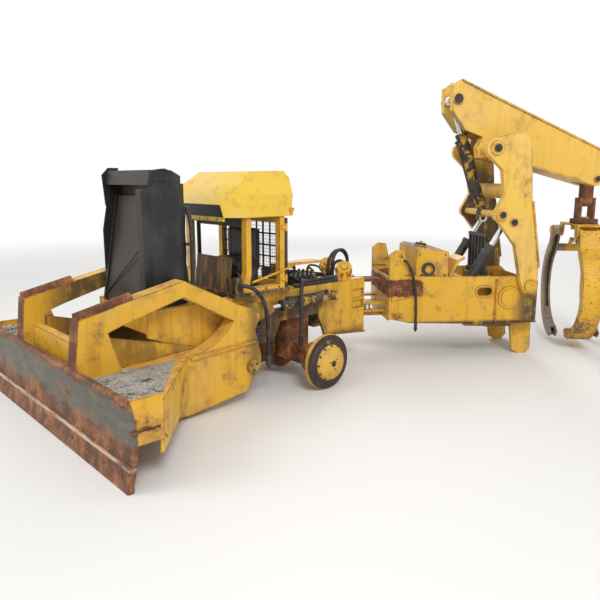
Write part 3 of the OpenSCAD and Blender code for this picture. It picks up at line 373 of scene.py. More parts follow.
def worn_paint(name, paint, fade, rust, streaks, grime, shift, grease_and_shade=None, rusted=None):
    """Old enamel: faded on top, streaked by rain, grimy, and rusted through at edges and chips.
    The first optional function gives where grease and painted shade darken it, the second where rust covers
    it."""
    graph = Graph(name)
    chalk = [min(1.0, c * 0.75 + 0.22) for c in paint]
    deep = (paint[0] * 0.62, paint[1] * 0.50, paint[2] * 0.42)
    grey, stain = (0.16, 0.125, 0.075), (0.34, 0.14, 0.035)
    up = graph.facing_way(UP)
    large = graph.noise(1.3, 3.0, shift=shift)
    medium = graph.noise(6.0, 6.0, 0.62, shift=shift + 5.0)
    fine = graph.noise(42.0, 5.0, 0.7, shift=shift + 9.0)
    runs = graph.noise(1.0, 5.0, 0.6, stretch=(16, 16, 0.9), shift=shift + 2.0)
    edge = graph.edges(0.018)
    colour = graph.mix((large + up * 0.22).step(0.42, 0.85) * fade, paint, chalk)
    colour = graph.mix(runs.step(0.50, 0.72) * streaks, colour, deep)
    colour = graph.mix((medium * 0.7 + large * 0.4).step(0.52, 0.72) * grime, colour, grey)
    if grease_and_shade:
        # Near-black mix: grease on some parts, painted shade on the inner, downward and recessed faces of
        # others
        grease_and_shade_mask = grease_and_shade(graph) * (medium * 0.8 + runs * 0.5).step(0.34, 0.66)
        colour = graph.mix(grease_and_shade_mask * 0.93, colour, (0.030, 0.025, 0.021))
    chips = medium * 0.60 + fine * 0.40 + edge * 0.19 + rust * 0.20
    if rusted:
        chips = chips + rusted(graph) * 0.36
    bare = chips.step(0.675, 0.73)
    colour = graph.mix(chips.step(0.58, 0.70) * 0.60, colour, stain)
    colour = graph.mix(bare, colour, rust_colour(graph, shift))
    graph.bump(fine * 0.35 - bare * 0.8 + medium * 0.3, 0.5, 0.0022)
    return graph.finish(colour, medium * 0.22 + bare * 0.28 + 0.38, shine=0.42)


def rusty_steel(name):
    """Bare steel that has rusted all over, with darker scale and a few worn bright spots."""
    graph = Graph(name)
    worn = graph.edges(0.010) * graph.noise(9.0, 5.0).step(0.42, 0.60)
    scale = graph.noise(2.2, 4.0, shift=7.0).step(0.45, 0.70)
    colour = graph.mix(scale * 0.55, rust_colour(graph), (0.075, 0.048, 0.035))
    colour = graph.mix(worn * 0.45, colour, (0.34, 0.27, 0.22))
    grain = graph.noise(85.0, 6.0, 0.75)
    graph.bump(grain + graph.noise(14.0, 5.0) * 0.8, 0.55, 0.003)
    return graph.finish(colour, grain * 0.2 + 0.66, worn * 0.5)


def scorched_plate(name):
    """Plate darkened by heat, with ochre paint left in runs down its middle."""
    graph = Graph(name)
    runs = graph.noise(1.0, 6.0, 0.65, stretch=(18, 18, 1.1), shift=2.0)
    patches = graph.noise(4.0, 5.0, 0.6, stretch=(1, 1, 0.5), shift=6.0)
    fine = graph.noise(50.0, 5.0, 0.7)
    colour = graph.mix(patches.step(0.40, 0.62), (0.050, 0.034, 0.024), (0.135, 0.085, 0.045))
    left = (runs * 0.6 + patches * 0.4).step(0.51, 0.60)
    colour = graph.mix(left * 0.85, colour, (0.42, 0.245, 0.060))
    colour = graph.mix(fine.step(0.60, 0.72) * 0.6, colour, rust_colour(graph, 5.0))
    graph.bump(fine + runs, 0.4, 0.002)
    return graph.finish(colour, patches * 0.3 + 0.45)


def greasy_steel(name, shift=0.0, dust=0.35, yellow=0.0):
    """Dark steel under grease and dust, with remains of paint where yellow is above 0."""
    graph = Graph(name)
    paints = bpy.context.scene.skidder_paint
    up = graph.facing_way(UP)
    patches = graph.noise(5.0, 6.0, 0.6, shift=shift)
    fine = graph.noise(50.0, 5.0, 0.7, shift=shift + 4.0)
    colour = graph.mix(patches.step(0.40, 0.66), paints.soot[:], (0.060, 0.052, 0.046))
    colour = graph.mix((fine * 0.5 + up * 0.35 + patches * 0.3).step(0.50, 0.86) * dust, colour,
        (0.21, 0.17, 0.125))
    colour = graph.mix(graph.edges(0.008) * fine.step(0.40, 0.60) * 0.5, colour, (0.17, 0.085, 0.045))
    if yellow:
        left = graph.noise(8.0, 6.0, 0.7, shift=shift + 11.0)
        colour = graph.mix(left.step(0.62 - 0.2 * yellow, 0.70 - 0.2 * yellow), colour,
            [0.7 * c for c in paints.golden])
    graph.bump(fine + patches, 0.4, 0.002)
    return graph.finish(colour, patches * 0.35 + 0.34, shine=0.45)


def blade_steel(name):
    """Moldboard: grey-green paint left above, rust below, scratches along it and a pale seam."""
    graph = Graph(name)
    height = graph.along(UP)
    patches = graph.noise(2.6, 6.0, 0.62, stretch=(1, 1, 2.2))
    smears = graph.noise(9.0, 7.0, 0.7, stretch=(1, 0.35, 1.6), shift=4.0)
    scratches = graph.noise(34.0, 5.0, 0.75, stretch=(1, 0.09, 1.5), shift=7.0)
    level = height + patches * 0.34 - 0.17 + smears * 0.12
    colour = rust_colour(graph, 2.0)
    paint = graph.mix(smears.step(0.38, 0.66), (0.085, 0.098, 0.082), (0.165, 0.185, 0.150))
    painted = level.step(0.30, 0.40) * level.step(0.66, 0.58) * smears.step(0.66, 0.50)
    colour = graph.mix(painted * 0.85, colour, paint)
    colour = graph.mix(scratches.step(0.58, 0.72) * 0.35, colour, (0.42, 0.30, 0.22))
    seam = (height + smears * 0.022 - 0.165).away().step(0.014, 0.003) * scratches.step(0.35, 0.55)
    colour = graph.mix(seam * 0.8, colour, (0.62, 0.50, 0.40))
    graph.bump(scratches + smears * 0.7, 0.45, 0.003)
    return graph.finish(colour, smears * 0.25 + 0.48)


def bright_rod(name):
    """Hard chrome with dust and a few rust spots."""
    graph = Graph(name)
    spots = graph.noise(38.0, 6.0, 0.7)
    rusty = spots.step(0.62, 0.70)
    dusty = graph.noise(6.0, 4.0).step(0.45, 0.75)
    colour = graph.mix(rusty, (0.70, 0.71, 0.72), (0.23, 0.10, 0.05))
    return graph.finish(colour, rusty * 0.4 + dusty * 0.22 + 0.16, 1.0 - rusty)


def hose_rubber(name):
    """Black rubber under dust."""
    graph = Graph(name)
    dust = graph.noise(11.0, 5.0, 0.65)
    colour = graph.mix(dust.step(0.42, 0.72) * 0.5, (0.016, 0.016, 0.017), (0.10, 0.092, 0.08))
    graph.bump(graph.noise(240.0, 2.0), 0.25, 0.0006)
    return graph.finish(colour, dust * 0.3 + 0.42)


def seat_vinyl(name):
    """Split black vinyl with a fine grain."""
    graph = Graph(name)
    grain = graph.noise(320.0, 3.0)
    worn = graph.noise(9.0, 5.0, 0.6)
    colour = graph.mix(worn.step(0.50, 0.72), (0.020, 0.019, 0.019), (0.085, 0.078, 0.068))
    graph.bump(grain + worn, 0.35, 0.0012)
    return graph.finish(colour, worn * 0.3 + 0.36)


def gravel_dirt(name):
    """Grey grit and soil."""
    graph = Graph(name)
    grit = graph.noise(110.0, 6.0, 0.8)
    damp = graph.noise(8.0, 4.0)
    colour = graph.mix(grit.step(0.36, 0.66), (0.20, 0.18, 0.15), (0.56, 0.52, 0.46))
    colour = graph.mix(damp.step(0.50, 0.70) * 0.5, colour, (0.14, 0.11, 0.08))
    graph.bump(grit, 0.8, 0.006)
    return graph.finish(colour, 0.9)


def chassis_grease_and_shade(graph):
    """Grease round the axle and the lift cylinders, and painted shade below the flange of the rail."""
    x, z = graph.along(FORWARD), graph.along(UP)
    beside = x.step(0.62, 0.86) * x.step(1.92, 1.55) * z.step(0.90, 0.70)
    # The first term is grease; the low term is painted shade below the flange
    return beside.most(z.step(0.45, 0.36) * 0.6)


def hub_grease(graph):
    """Black greasy rim round the hub's yellow disc, short of its yellow edge."""
    axle = JOINTS["hub_left_turn"]["pos_m"]
    x, z = graph.along(FORWARD) + (float(HINGE[0]) - axle[0]), graph.along(UP) - axle[2]
    radius = (x * x + z * z) ** 0.5
    side = graph.along(LEFT).away()
    return radius.step(0.166, 0.172) * radius.step(0.259, 0.255) * side.step(0.80, 0.81) * 2.0


def arm_rust(graph):
    """Rust on the front edges of the arms and on their round caps."""
    x, z = graph.along(FORWARD), graph.along(UP)
    front_edge = graph.facing_way(FORWARD).step(0.5, 0.8) * x.step(2.9, 3.0)
    cap = (z + x * 0.231 - 1.718).step(0.0, 0.012) * x.step(2.86, 2.90)
    return front_edge.most(cap)


def arm_soil_and_shade(graph):
    """Painted shade in the trough behind the ring, and black soil at the pivot."""
    x, y = graph.along(FORWARD), graph.along(LEFT).away()
    trough_shade = y.step(0.484, 0.479) * x.step(3.24, 2.86) * x.step(2.0, 2.5)
    return trough_shade.most(x.step(1.90, 1.76) * 0.7)


def tank_grease(graph):
    """Dirt that lies on top of the tank, inside its outer edge."""
    up = graph.facing_way(UP).step(0.55, 0.85)
    return up * graph.along(LEFT, REAR_TURN).step(0.385, 0.33)


def rear_frame_grease(graph):
    """Grease on the rear end, below, and along the lower edge."""
    x, z = graph.along(FORWARD, REAR_TURN), graph.along(UP)
    return (x.step(-1.74, -1.96) * z.step(0.80, 0.62)).most(z.step(0.43, 0.39))


def rear_frame_rust(graph):
    """Scraped patch at the front of the side plate."""
    x, z = graph.along(FORWARD, REAR_TURN), graph.along(UP)
    return x.step(-0.80, -0.72) * z.step(0.66, 0.72) * z.step(0.90, 0.84) * 0.75


def axle_grease(graph):
    """Black grease on the axle's bowl, between the frame's sides."""
    return graph.along(LEFT).away().step(0.66, 0.44)


def axle_rust(graph):
    """Rust all along the axle's tubes."""
    return graph.along(LEFT).away().step(0.80, 0.60) * 0.30


def arch_rust(graph):
    """Worn rear edges of the uprights."""
    return graph.facing_way(-FORWARD, REAR_TURN).step(0.45, 0.8) * 0.8


def arch_inner_shade(graph):
    """Painted shade on the inner faces of the uprights, thickest round the boom's cylinder."""
    y, z = graph.along(LEFT, REAR_TURN), graph.along(UP)
    inward = (y * graph.facing_way(LEFT, REAR_TURN)).step(-0.15, -0.38)
    return inward * z.step(2.32, 1.95) * 0.95


def boom_under_shade(graph):
    """Painted shade on the faces under the boom, thickest towards its pivot."""
    x = graph.along(FORWARD, REAR_TURN)
    return graph.facing_way(-UP).step(0.35, 0.7) * 0.8 * x.step(-2.5, -1.9)


def roof_paint(name, paint):
    """Pale roof with the black band of its visor."""
    graph = Graph(name)
    x, z = graph.along(FORWARD), graph.along(UP)
    worn = graph.noise(9.0, 6.0, 0.65)
    fine = graph.noise(60.0, 5.0, 0.7, shift=3.0)
    large = graph.noise(1.6, 3.0, shift=2.0)
    chalk = [min(1.0, 0.70 * c + 0.24) for c in paint]
    colour = graph.mix(large.step(0.40, 0.72) * 0.50, paint, chalk)
    colour = graph.mix(worn.step(0.52, 0.72) * 0.40, colour, (0.36, 0.20, 0.05))
    forward = graph.facing_way(FORWARD).step(0.80, 0.88)
    band = forward * z.step(1.603, 1.606) * z.step(1.712, 1.707) * x.step(1.80, 1.82)
    colour = graph.mix(band, colour, (0.022, 0.017, 0.013))
    chips = (fine * 0.6 + worn * 0.4 + graph.edges(0.014) * 0.17).step(0.645, 0.69)
    colour = graph.mix(chips * 0.8, colour, rust_colour(graph, 4.0))
    graph.bump(worn * 0.5 + fine * 0.3, 0.4, 0.002)
    return graph.finish(colour, worn * 0.25 + 0.30, shine=0.45)


def pale_floor(name, near, far):
    """Pale floor that keeps the shadow near by, and turns white to the camera between two distances."""
    graph = Graph(name)
    graph.finish((0.80, 0.79, 0.77), 0.85)
    distance = graph.node("ShaderNodeVectorMath", {"operation": "LENGTH"}, {0: graph.place}, "Value")
    seen = graph.node("ShaderNodeLightPath", {}, {}, "Is Camera Ray")
    white = graph.node("ShaderNodeEmission", {}, {"Color": (1.0, 1.0, 1.0), "Strength": 1.0})
    shader = Signal(graph, graph.shader.outputs[0])
    both = graph.node("ShaderNodeMixShader", {}, {0: distance.step(near, far) * seen, 1: shader, 2: white})
    graph.link(both, graph.tree.nodes["Material Output"].inputs["Surface"])
    return graph.block


def cooler_sheet(name):
    """Near-black sheet: blue-grey patches of painted sunlit sheen, brown soot on the guard."""
    graph = Graph(name)
    sunlit_sheen = graph.noise(2.4, 5.0, 0.6, stretch=(1, 1, 0.55))
    fine = graph.noise(45.0, 5.0, 0.7, shift=2.0)
    # The blue-grey patches are painted sheen of sunlight on the near-black sheet
    colour = graph.mix(sunlit_sheen.step(0.40, 0.68), (0.012, 0.013, 0.015), (0.055, 0.060, 0.068))
    brown = graph.facing_way(FORWARD).step(0.5, 0.8)
    colour = graph.mix(brown * 0.8, colour, graph.mix(sunlit_sheen, (0.016, 0.012, 0.010), (0.060, 0.042, 0.030)))
    colour = graph.mix((fine * 0.6 + graph.edges(0.006) * 0.3).step(0.58, 0.72) * 0.45, colour,
        (0.19, 0.17, 0.15))
    graph.bump(sunlit_sheen * 0.6 + fine * 0.5, 0.35, 0.004)
    return graph.finish(colour, sunlit_sheen * 0.3 + 0.30, shine=0.4)


def pitted_paint(name, paint, stripped=False):
    """Grapple: paint pitted in rows across its wall, bare grey steel towards the tips.
    Where stripped, the prong on the camera's left has lost its paint."""
    graph = Graph(name)
    z = graph.along(UP)
    medium = graph.noise(7.0, 6.0, 0.62)
    fine = graph.noise(48.0, 5.0, 0.7, shift=5.0)
    pits = graph.noise(30.0, 3.0, 0.6, stretch=(1.0, 1.0, 2.6), shift=9.0).step(0.60, 0.66)
    colour = graph.mix(medium.step(0.42, 0.70) * 0.4, paint, [0.6 * c for c in paint])
    colour = graph.mix(pits * 0.9, colour, (0.10, 0.045, 0.020))
    chips = medium * 0.55 + fine * 0.45 + graph.edges(0.014) * 0.17 + z.step(0.62, 0.22) * 0.13
    colour = graph.mix(chips.step(0.56, 0.66) * 0.6, colour, (0.30, 0.13, 0.04))
    bare = chips.step(0.64, 0.70)
    steel = graph.mix(z.step(0.9, 0.4), rust_colour(graph, 3.0), (0.105, 0.082, 0.066))
    colour = graph.mix(bare, colour, steel)
    if stripped:
        centre, pins = JOINTS["grapple_turn"]["pos_m"], -np.array(JOINTS["tong_left_close"]["axis"])
        reach = graph.place.dot(pins.tolist()) - float(np.dot(centre, pins))
        left = (reach + medium * 0.05).step(0.10, 0.14) * (fine * 0.4 + medium * 0.6).step(0.64, 0.52)
        weathered = graph.mix(medium.step(0.40, 0.62), (0.17, 0.135, 0.11), (0.33, 0.28, 0.235))
        colour = graph.mix(left * 0.94, colour, weathered)
    graph.bump(fine * 0.3 - pits * 0.8 - bare * 0.5, 0.55, 0.003)
    return graph.finish(colour, medium * 0.2 + bare * 0.2 + 0.42, shine=0.4)


# Each finish and the CAD nodes that take it
NODE_FINISHES = {
    "axle": ("axle_housing",),
    "golden": ("cab_posts", "deck_bracket", "round_drums", "rear_cover", "skid_plates"),
    "chassis": ("front_frame",),
    "arm": ("arm_left", "arm_right"),
    "hub": ("hub_left", "hub_right"),
    "rear_frame": ("rear_frame",),
    "tank": ("rear_tank",),
    "shelf": ("blade_box",),
    "arch": ("arch",),
    "boom": ("boom",),
    "grapple": ("grapple_head", "tong_left"),
    "prongs": ("tong_right",),
    "roof": ("cab_roof",),
    "rusty": ("swing_link", "yoke"),
    "scorched": ("cab_floor",),
    "hose": ("deck_hoses", "hose_front", "hose_middle", "hose_rear"),
    "greasy": ("deck_beam", "stack_pipe", "hinge_pins", "step_block", "control_valves",
        "transmission_case", "fairlead_guard", "cab_screens", "arch_barrels", "tong_barrel"),
    "soot": ("radiator_core", "radiator_guard"),
    "barrel": ("lift_barrels", "steer_barrel_left", "steer_barrel_right", "boom_barrel"),
    "rod": ("lift_rods", "steer_rod_left", "steer_rod_right", "arch_rods", "boom_rod", "tong_rod"),
    "blade": ("moldboard",),
    "vinyl": ("operator_seat",),
}

# Worn enamels: the paint, how far it is faded, rusted, streaked and grimy, the shift of its
# patterns, and the masks of its grease and painted shade, and of its rust
ENAMELS = {
    "golden": ("golden", 0.30, 0.30, 0.42, 0.36, 0.0),
    "chassis": ("golden", 0.25, 0.30, 0.50, 0.40, 1.0, chassis_grease_and_shade),
    "hub": ("golden", 0.30, 0.10, 0.10, 0.30, 1.5, hub_grease),
    "shelf": ("golden", 0.30, 0.42, 0.30, 0.55, 2.5),
    "arm": ("golden", 0.28, 0.26, 0.40, 0.30, 3.0, arm_soil_and_shade, arm_rust),
    "arch": ("pale", 0.42, 0.20, 0.30, 0.26, 4.0, arch_inner_shade, arch_rust),
    "boom": ("pale", 0.36, 0.14, 0.22, 0.18, 5.0, boom_under_shade),
    "tank": ("golden", 0.30, 0.30, 0.40, 0.40, 7.0, tank_grease),
    "rear_frame": ("golden", 0.40, 0.34, 0.45, 0.34, 9.0, rear_frame_grease, rear_frame_rust),
    "axle": ("golden", 0.20, 0.75, 0.50, 0.80, 12.0, axle_grease, axle_rust),
}
FINISHES = {}


class SKIDDER_OT_finishes(bpy.types.Operator):
    """Make the finishes and give one to each node of the frame"""
    bl_idname = "skidder.finishes"
    bl_label = "Finishes"

    def execute(self, context):
        paint = context.scene.skidder_paint
        for key, (colour, *wear) in ENAMELS.items():
            FINISHES[key] = worn_paint(f"{key}_enamel", getattr(paint, colour)[:], *wear)
        FINISHES.update({
            "grapple": pitted_paint("grapple_enamel", paint.golden[:]),
            "prongs": pitted_paint("prong_enamel", paint.golden[:], stripped=True),
            "roof": roof_paint("roof_enamel", paint.roof[:]),
            "rusty": rusty_steel("rusty_steel"),
            "scorched": scorched_plate("scorched_plate"),
            "greasy": greasy_steel("greasy_steel", dust=0.45),
            "soot": cooler_sheet("sooty_sheet"),
            "barrel": greasy_steel("barrel_paint", 6.0, dust=0.3, yellow=0.55),
            "rod": bright_rod("rod_chrome"),
            "blade": blade_steel("blade_steel"),
            "hose": hose_rubber("hose_rubber"),
            "vinyl": seat_vinyl("seat_vinyl"),
            "gravel": gravel_dirt("gravel"),
            "flap": greasy_steel("pale_flap", 12.0, dust=1.0),
        })
        for finish, names in NODE_FINISHES.items():
            for name in names:
                materials = frame["nodes"][name].data.materials
                materials.clear()
                materials.append(FINISHES[finish])
        return {"FINISHED"}


# Hoses that hang free: their routes are those of the frame's tubes

FRONT_ROUTE = [(1.822, 0.4783, 1.020), (1.822, 0.500, 1.020), (1.816, 0.530, 1.024), (1.796, 0.560, 1.022),
    (1.758, 0.588, 1.004), (1.712, 0.600, 0.968), (1.672, 0.602, 0.918), (1.640, 0.601, 0.860),
    (1.618, 0.600, 0.792), (1.605, 0.599, 0.718), (1.598, 0.598, 0.640), (1.595, 0.597, 0.560),
    (1.594, 0.596, 0.480), (1.594, 0.596, 0.400), (1.594, 0.596, 0.330)]
MIDDLE_ROUTE = [(1.022, 0.3303, 0.960), (1.022, 0.352, 0.960), (1.026, 0.378, 0.967), (1.034, 0.410, 0.974),
    (1.056, 0.448, 0.978), (1.086, 0.482, 0.970), (1.114, 0.512, 0.948), (1.146, 0.540, 0.912),
    (1.170, 0.564, 0.866), (1.186, 0.580, 0.808), (1.196, 0.590, 0.742), (1.201, 0.594, 0.670),
    (1.203, 0.596, 0.595), (1.204, 0.596, 0.520), (1.204, 0.596, 0.450)]
REAR_ROUTE = [(-0.560, 0.4293, 1.080), (-0.560, 0.444, 1.080), (-0.565, 0.462, 1.079), (-0.576, 0.478, 1.066),
    (-0.596, 0.484, 1.034), (-0.620, 0.484, 0.984), (-0.642, 0.481, 0.920), (-0.660, 0.478, 0.848),
    (-0.674, 0.474, 0.772), (-0.684, 0.471, 0.694), (-0.690, 0.469, 0.614), (-0.693, 0.467, 0.534),
    (-0.694, 0.466, 0.454), (-0.694, 0.466, 0.380)]


class SKIDDER_OT_hoses(bpy.types.Operator):
    """Add the three hoses that hang free, each with the fitting at its lower end"""
    bl_idname = "skidder.hoses"
    bl_label = "Hanging hoses"

    def add_hose(self, node, body, place, route, radius):
        path = curve(route, 4)
        hose = Shape().sweep(path, radius, 14).make(f"{node}_rubber", body, "hose", place)
        end, down = path[-1], unit(path[-1] - path[-2])
        fitting = Shape().turned(end - 0.045 * down, down, [(0, radius * 1.12), (0.004, radius * 1.3),
            (0.052, radius * 1.3), (0.056, radius * 1.05), (0.064, radius * 1.05)])
        fitting.bar(end + 0.017 * down, down, radius * 1.45, 0.026)
        fitting.turned(end + 0.042 * down, down,
            [(0, radius * 0.95), (0.016, radius * 0.95), (0.024, radius * 0.6)])
        end_piece = fitting.make(f"{node}_fitting", body, "greasy", place)
        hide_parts(node)
        place(path[0]).tolist()
        place(path).tolist()

    def execute(self, context):
        self.add_hose("hose_front", "front", front, FRONT_ROUTE, 0.018)
        self.add_hose("hose_middle", "front", front, MIDDLE_ROUTE, 0.018)
        self.add_hose("hose_rear", "rear", rear, REAR_ROUTE, 0.014)
        return {"FINISHED"}


# Blade

SHELF_Z = 0.5402
SHELF_FRONT = 3.300
SHELF_START, SHELF_WIDTH = 0.636, 0.734
ARM_DEPTH, TIP_DEPTH = 0.740, 0.185
CHEEK_TOP = 1.399
BLADE_PIVOT = 1.800, 0.650, 0.330


class SKIDDER_OT_blade(bpy.types.Operator):
    """Add the gravel on the wing shelves, the torn flange, and the bolts of the edge and the pivots"""
    bl_idname = "skidder.blade"
    bl_label = "Blade pieces"

    def shelf_point(self, u, v, side):
        """Place over the wing shelf: u goes out from the arm, v goes back from the blade."""
        depth = ARM_DEPTH * (1 - u) + TIP_DEPTH * u
        return np.stack([SHELF_FRONT - v * depth, side * (SHELF_START + u * SHELF_WIDTH), 0 * u], -1)

    def dome(self, u, v):
        """Smooth dome: the product of a half wave each way, raised to 0.6."""
        return (np.sin(math.pi * u) * np.sin(math.pi * v)) ** 0.6

    def gravel(self, side, fullness, seed):
        """Heap whose height is a smooth dome over the shelf, roughened by uneven waves."""
        count = 96
        u, v = np.meshgrid(np.linspace(0, 1, count), np.linspace(0, 1, count), indexing="ij")
        spot = self.shelf_point(u, v, side)
        rough = waves(spot, 0.06, 3) * 0.35 + waves(spot, 0.013, 4) * 0.22 + waves(spot, 0.005, 5) * 0.16
        height = 0.030 * self.dome(u, v) * np.clip(0.75 + rough, 0.08, None) * fullness
        low = spot + SHELF_Z * UP
        top = low + (0.0006 + height)[..., None] * UP
        quads, border = square_grid(count)
        walls = np.stack([border, np.roll(border, -1)], -1)
        under = count * count
        faces = [quads, quads[:, ::-1] + under, np.concatenate([walls, walls[:, ::-1] + under], -1)]
        heap = Shape().add(np.stack([top, low]), np.concatenate(faces).tolist())
        draw = np.random.default_rng(seed)
        for k in range(150):
            a, b = draw.uniform(0.06, 0.94, 2)
            size = draw.uniform(0.006, 0.013) if k > 8 else draw.uniform(0.022, 0.038)
            lift = SHELF_Z + 0.024 * self.dome(a, b) + size * 0.3
            self.stone(heap, self.shelf_point(a, b, side) + lift * UP, size, draw)
        heap.make(f"gravel_{SIDES[side]}", "blade", "gravel")

    def stone(self, shape, centre, size, draw):
        """Uneven pebble: a coarse ball with each ring's corners pushed in or out."""
        rings = []
        stretch = draw.uniform(0.6, 1.3, 3)
        for tilt in np.radians([-84, -40, 0, 40, 84]):
            turn = circle(7) + draw.uniform(0, 0.5)
            radius = size * draw.uniform(0.78, 1.12, 7)
            ring = np.stack([np.cos(turn) * math.cos(tilt), np.sin(turn) * math.cos(tilt),
                np.full(7, math.sin(tilt))], -1) * radius[:, None]
            rings.append(centre + ring * stretch * (1, 1, 0.7))
        shape.loft(rings)

    def torn_flange(self):
        """Rusty flange that was torn off below the near cheek, with a jagged edge."""
        x = np.linspace(3.13, 3.345, 15)
        jag = np.minimum(0.030 * np.abs(waves(np.stack([x, x, x], -1), 0.02, 21)) + 0.006, 0.028)
        root = CHEEK_TOP - 0.02
        outline = np.concatenate([np.stack([x, CHEEK_TOP + jag], -1), [(x[-1], root), (x[0], root)]])
        shape = Shape().plate(outline, 0.392, 0.402, axis=2)
        shape.pipe([(3.20, 1.400, 0.400), (3.24, 1.412, 0.412), (3.28, 1.420, 0.404),
            (3.325, 1.418, 0.388)], 0.009, 8)
        shape.make("torn_flange", "blade", "rusty")

    def execute(self, context):
        self.gravel(-1, fullness=0.6, seed=9)
        self.gravel(1, fullness=0.9, seed=8)
        self.torn_flange()
        cutting = Shape()
        for y in np.arange(-1.30, 1.31, 0.26):
            cutting.turned((3.362, y, 0.095), (1, 0, 0.09), [(0, 0.017), (0.005, 0.016), (0.007, 0.010)], 14)
        cutting.make("edge_bolts", "blade", "rusty")
        pivots = Shape()
        for side in (-1, 1):
            pivots.bolt_circle(np.array(BLADE_PIVOT) * (1, side, 1), side * LEFT, FORWARD, UP,
                np.radians([30, 150, 270]), 0.036, 0.010)
        pivots.make("pivot_bolts", "front", "greasy")
        return {"FINISHED"}


# Cooling box

class SKIDDER_OT_cooler(bpy.types.Operator):
    """Add the ribs, torn fins, guard rod, flap and bolts of the cooling box"""
    bl_idname = "skidder.cooler"
    bl_label = "Cooling box pieces"

    def torn_fins(self):
        """Thin upright sheets of uneven height, with front edges bitten by waves."""
        fins = Shape()
        draw = np.random.default_rng(5)
        for k, y in enumerate(np.linspace(0.055, 0.325, 12)):
            top, foot = draw.uniform(1.55, 1.86), draw.uniform(0.93, 1.15)
            x = 2.262 + draw.uniform(-0.010, 0.018)
            bites = waves(np.stack([[y * 9, k, z] for z in np.linspace(0, 3, 9)]), 0.4, k)
            edge = x - 0.016 - np.abs(bites) * 0.022
            outline = [*zip(edge, np.linspace(foot, top, 9)), (x + 0.12, top), (x + 0.12, foot)]
            fins.plate(outline, y, y + 0.003)
        fins.make("torn_fins", "front", "soot")

    def execute(self, context):
        ribs = Shape()
        for z in np.arange(0.935, 1.835, 0.021):
            ribs.box((2.640, 0.274, z), (2.6455, 0.358, z + 0.009))
            ribs.box((2.562, 0.360, z), (2.636, 0.3645, z + 0.009))
        ribs.make("corner_ribs", "front", "soot")

        rod = np.linspace((2.660, -0.325, 0.955), (2.605, 0.252, 1.395), 12)
        Shape().sweep(rod, 0.0065, 8).make("guard_rod", "front", "greasy")
        self.torn_fins()

        flap = curve([(2.345, 1.925), (2.385, 1.962), (2.43, 1.978), (2.485, 1.969), (2.53, 1.942)])
        outline = np.concatenate([flap, (flap - (0, 0.004))[::-1]])
        Shape().plate(outline, -0.20, 0.12).make("tray_flap", "front", "flap")
        trim = Shape()
        trim.bolts([(x, -0.374, z) for x, z in ((2.50, 1.76), (2.56, 1.86), (2.53, 1.97))], -LEFT, 0.013)
        trim.bolts([(2.44, 0.3842, z) for z in np.arange(1.0, 1.85, 0.17)], LEFT, 0.009)
        trim.bolts([(x, 0.3722, 1.925) for x in (2.33, 2.42, 2.51)], LEFT, 0.008)
        trim.pipe([(2.40, 0.3735, 1.985), (2.44, 0.380, 2.000), (2.50, 0.376, 1.996),
            (2.56, 0.366, 1.986)], 0.006, 8)
        trim.make("cooler_bolts", "front", "greasy")
        return {"FINISHED"}


# Cab

CAB_SIDE = 0.4802


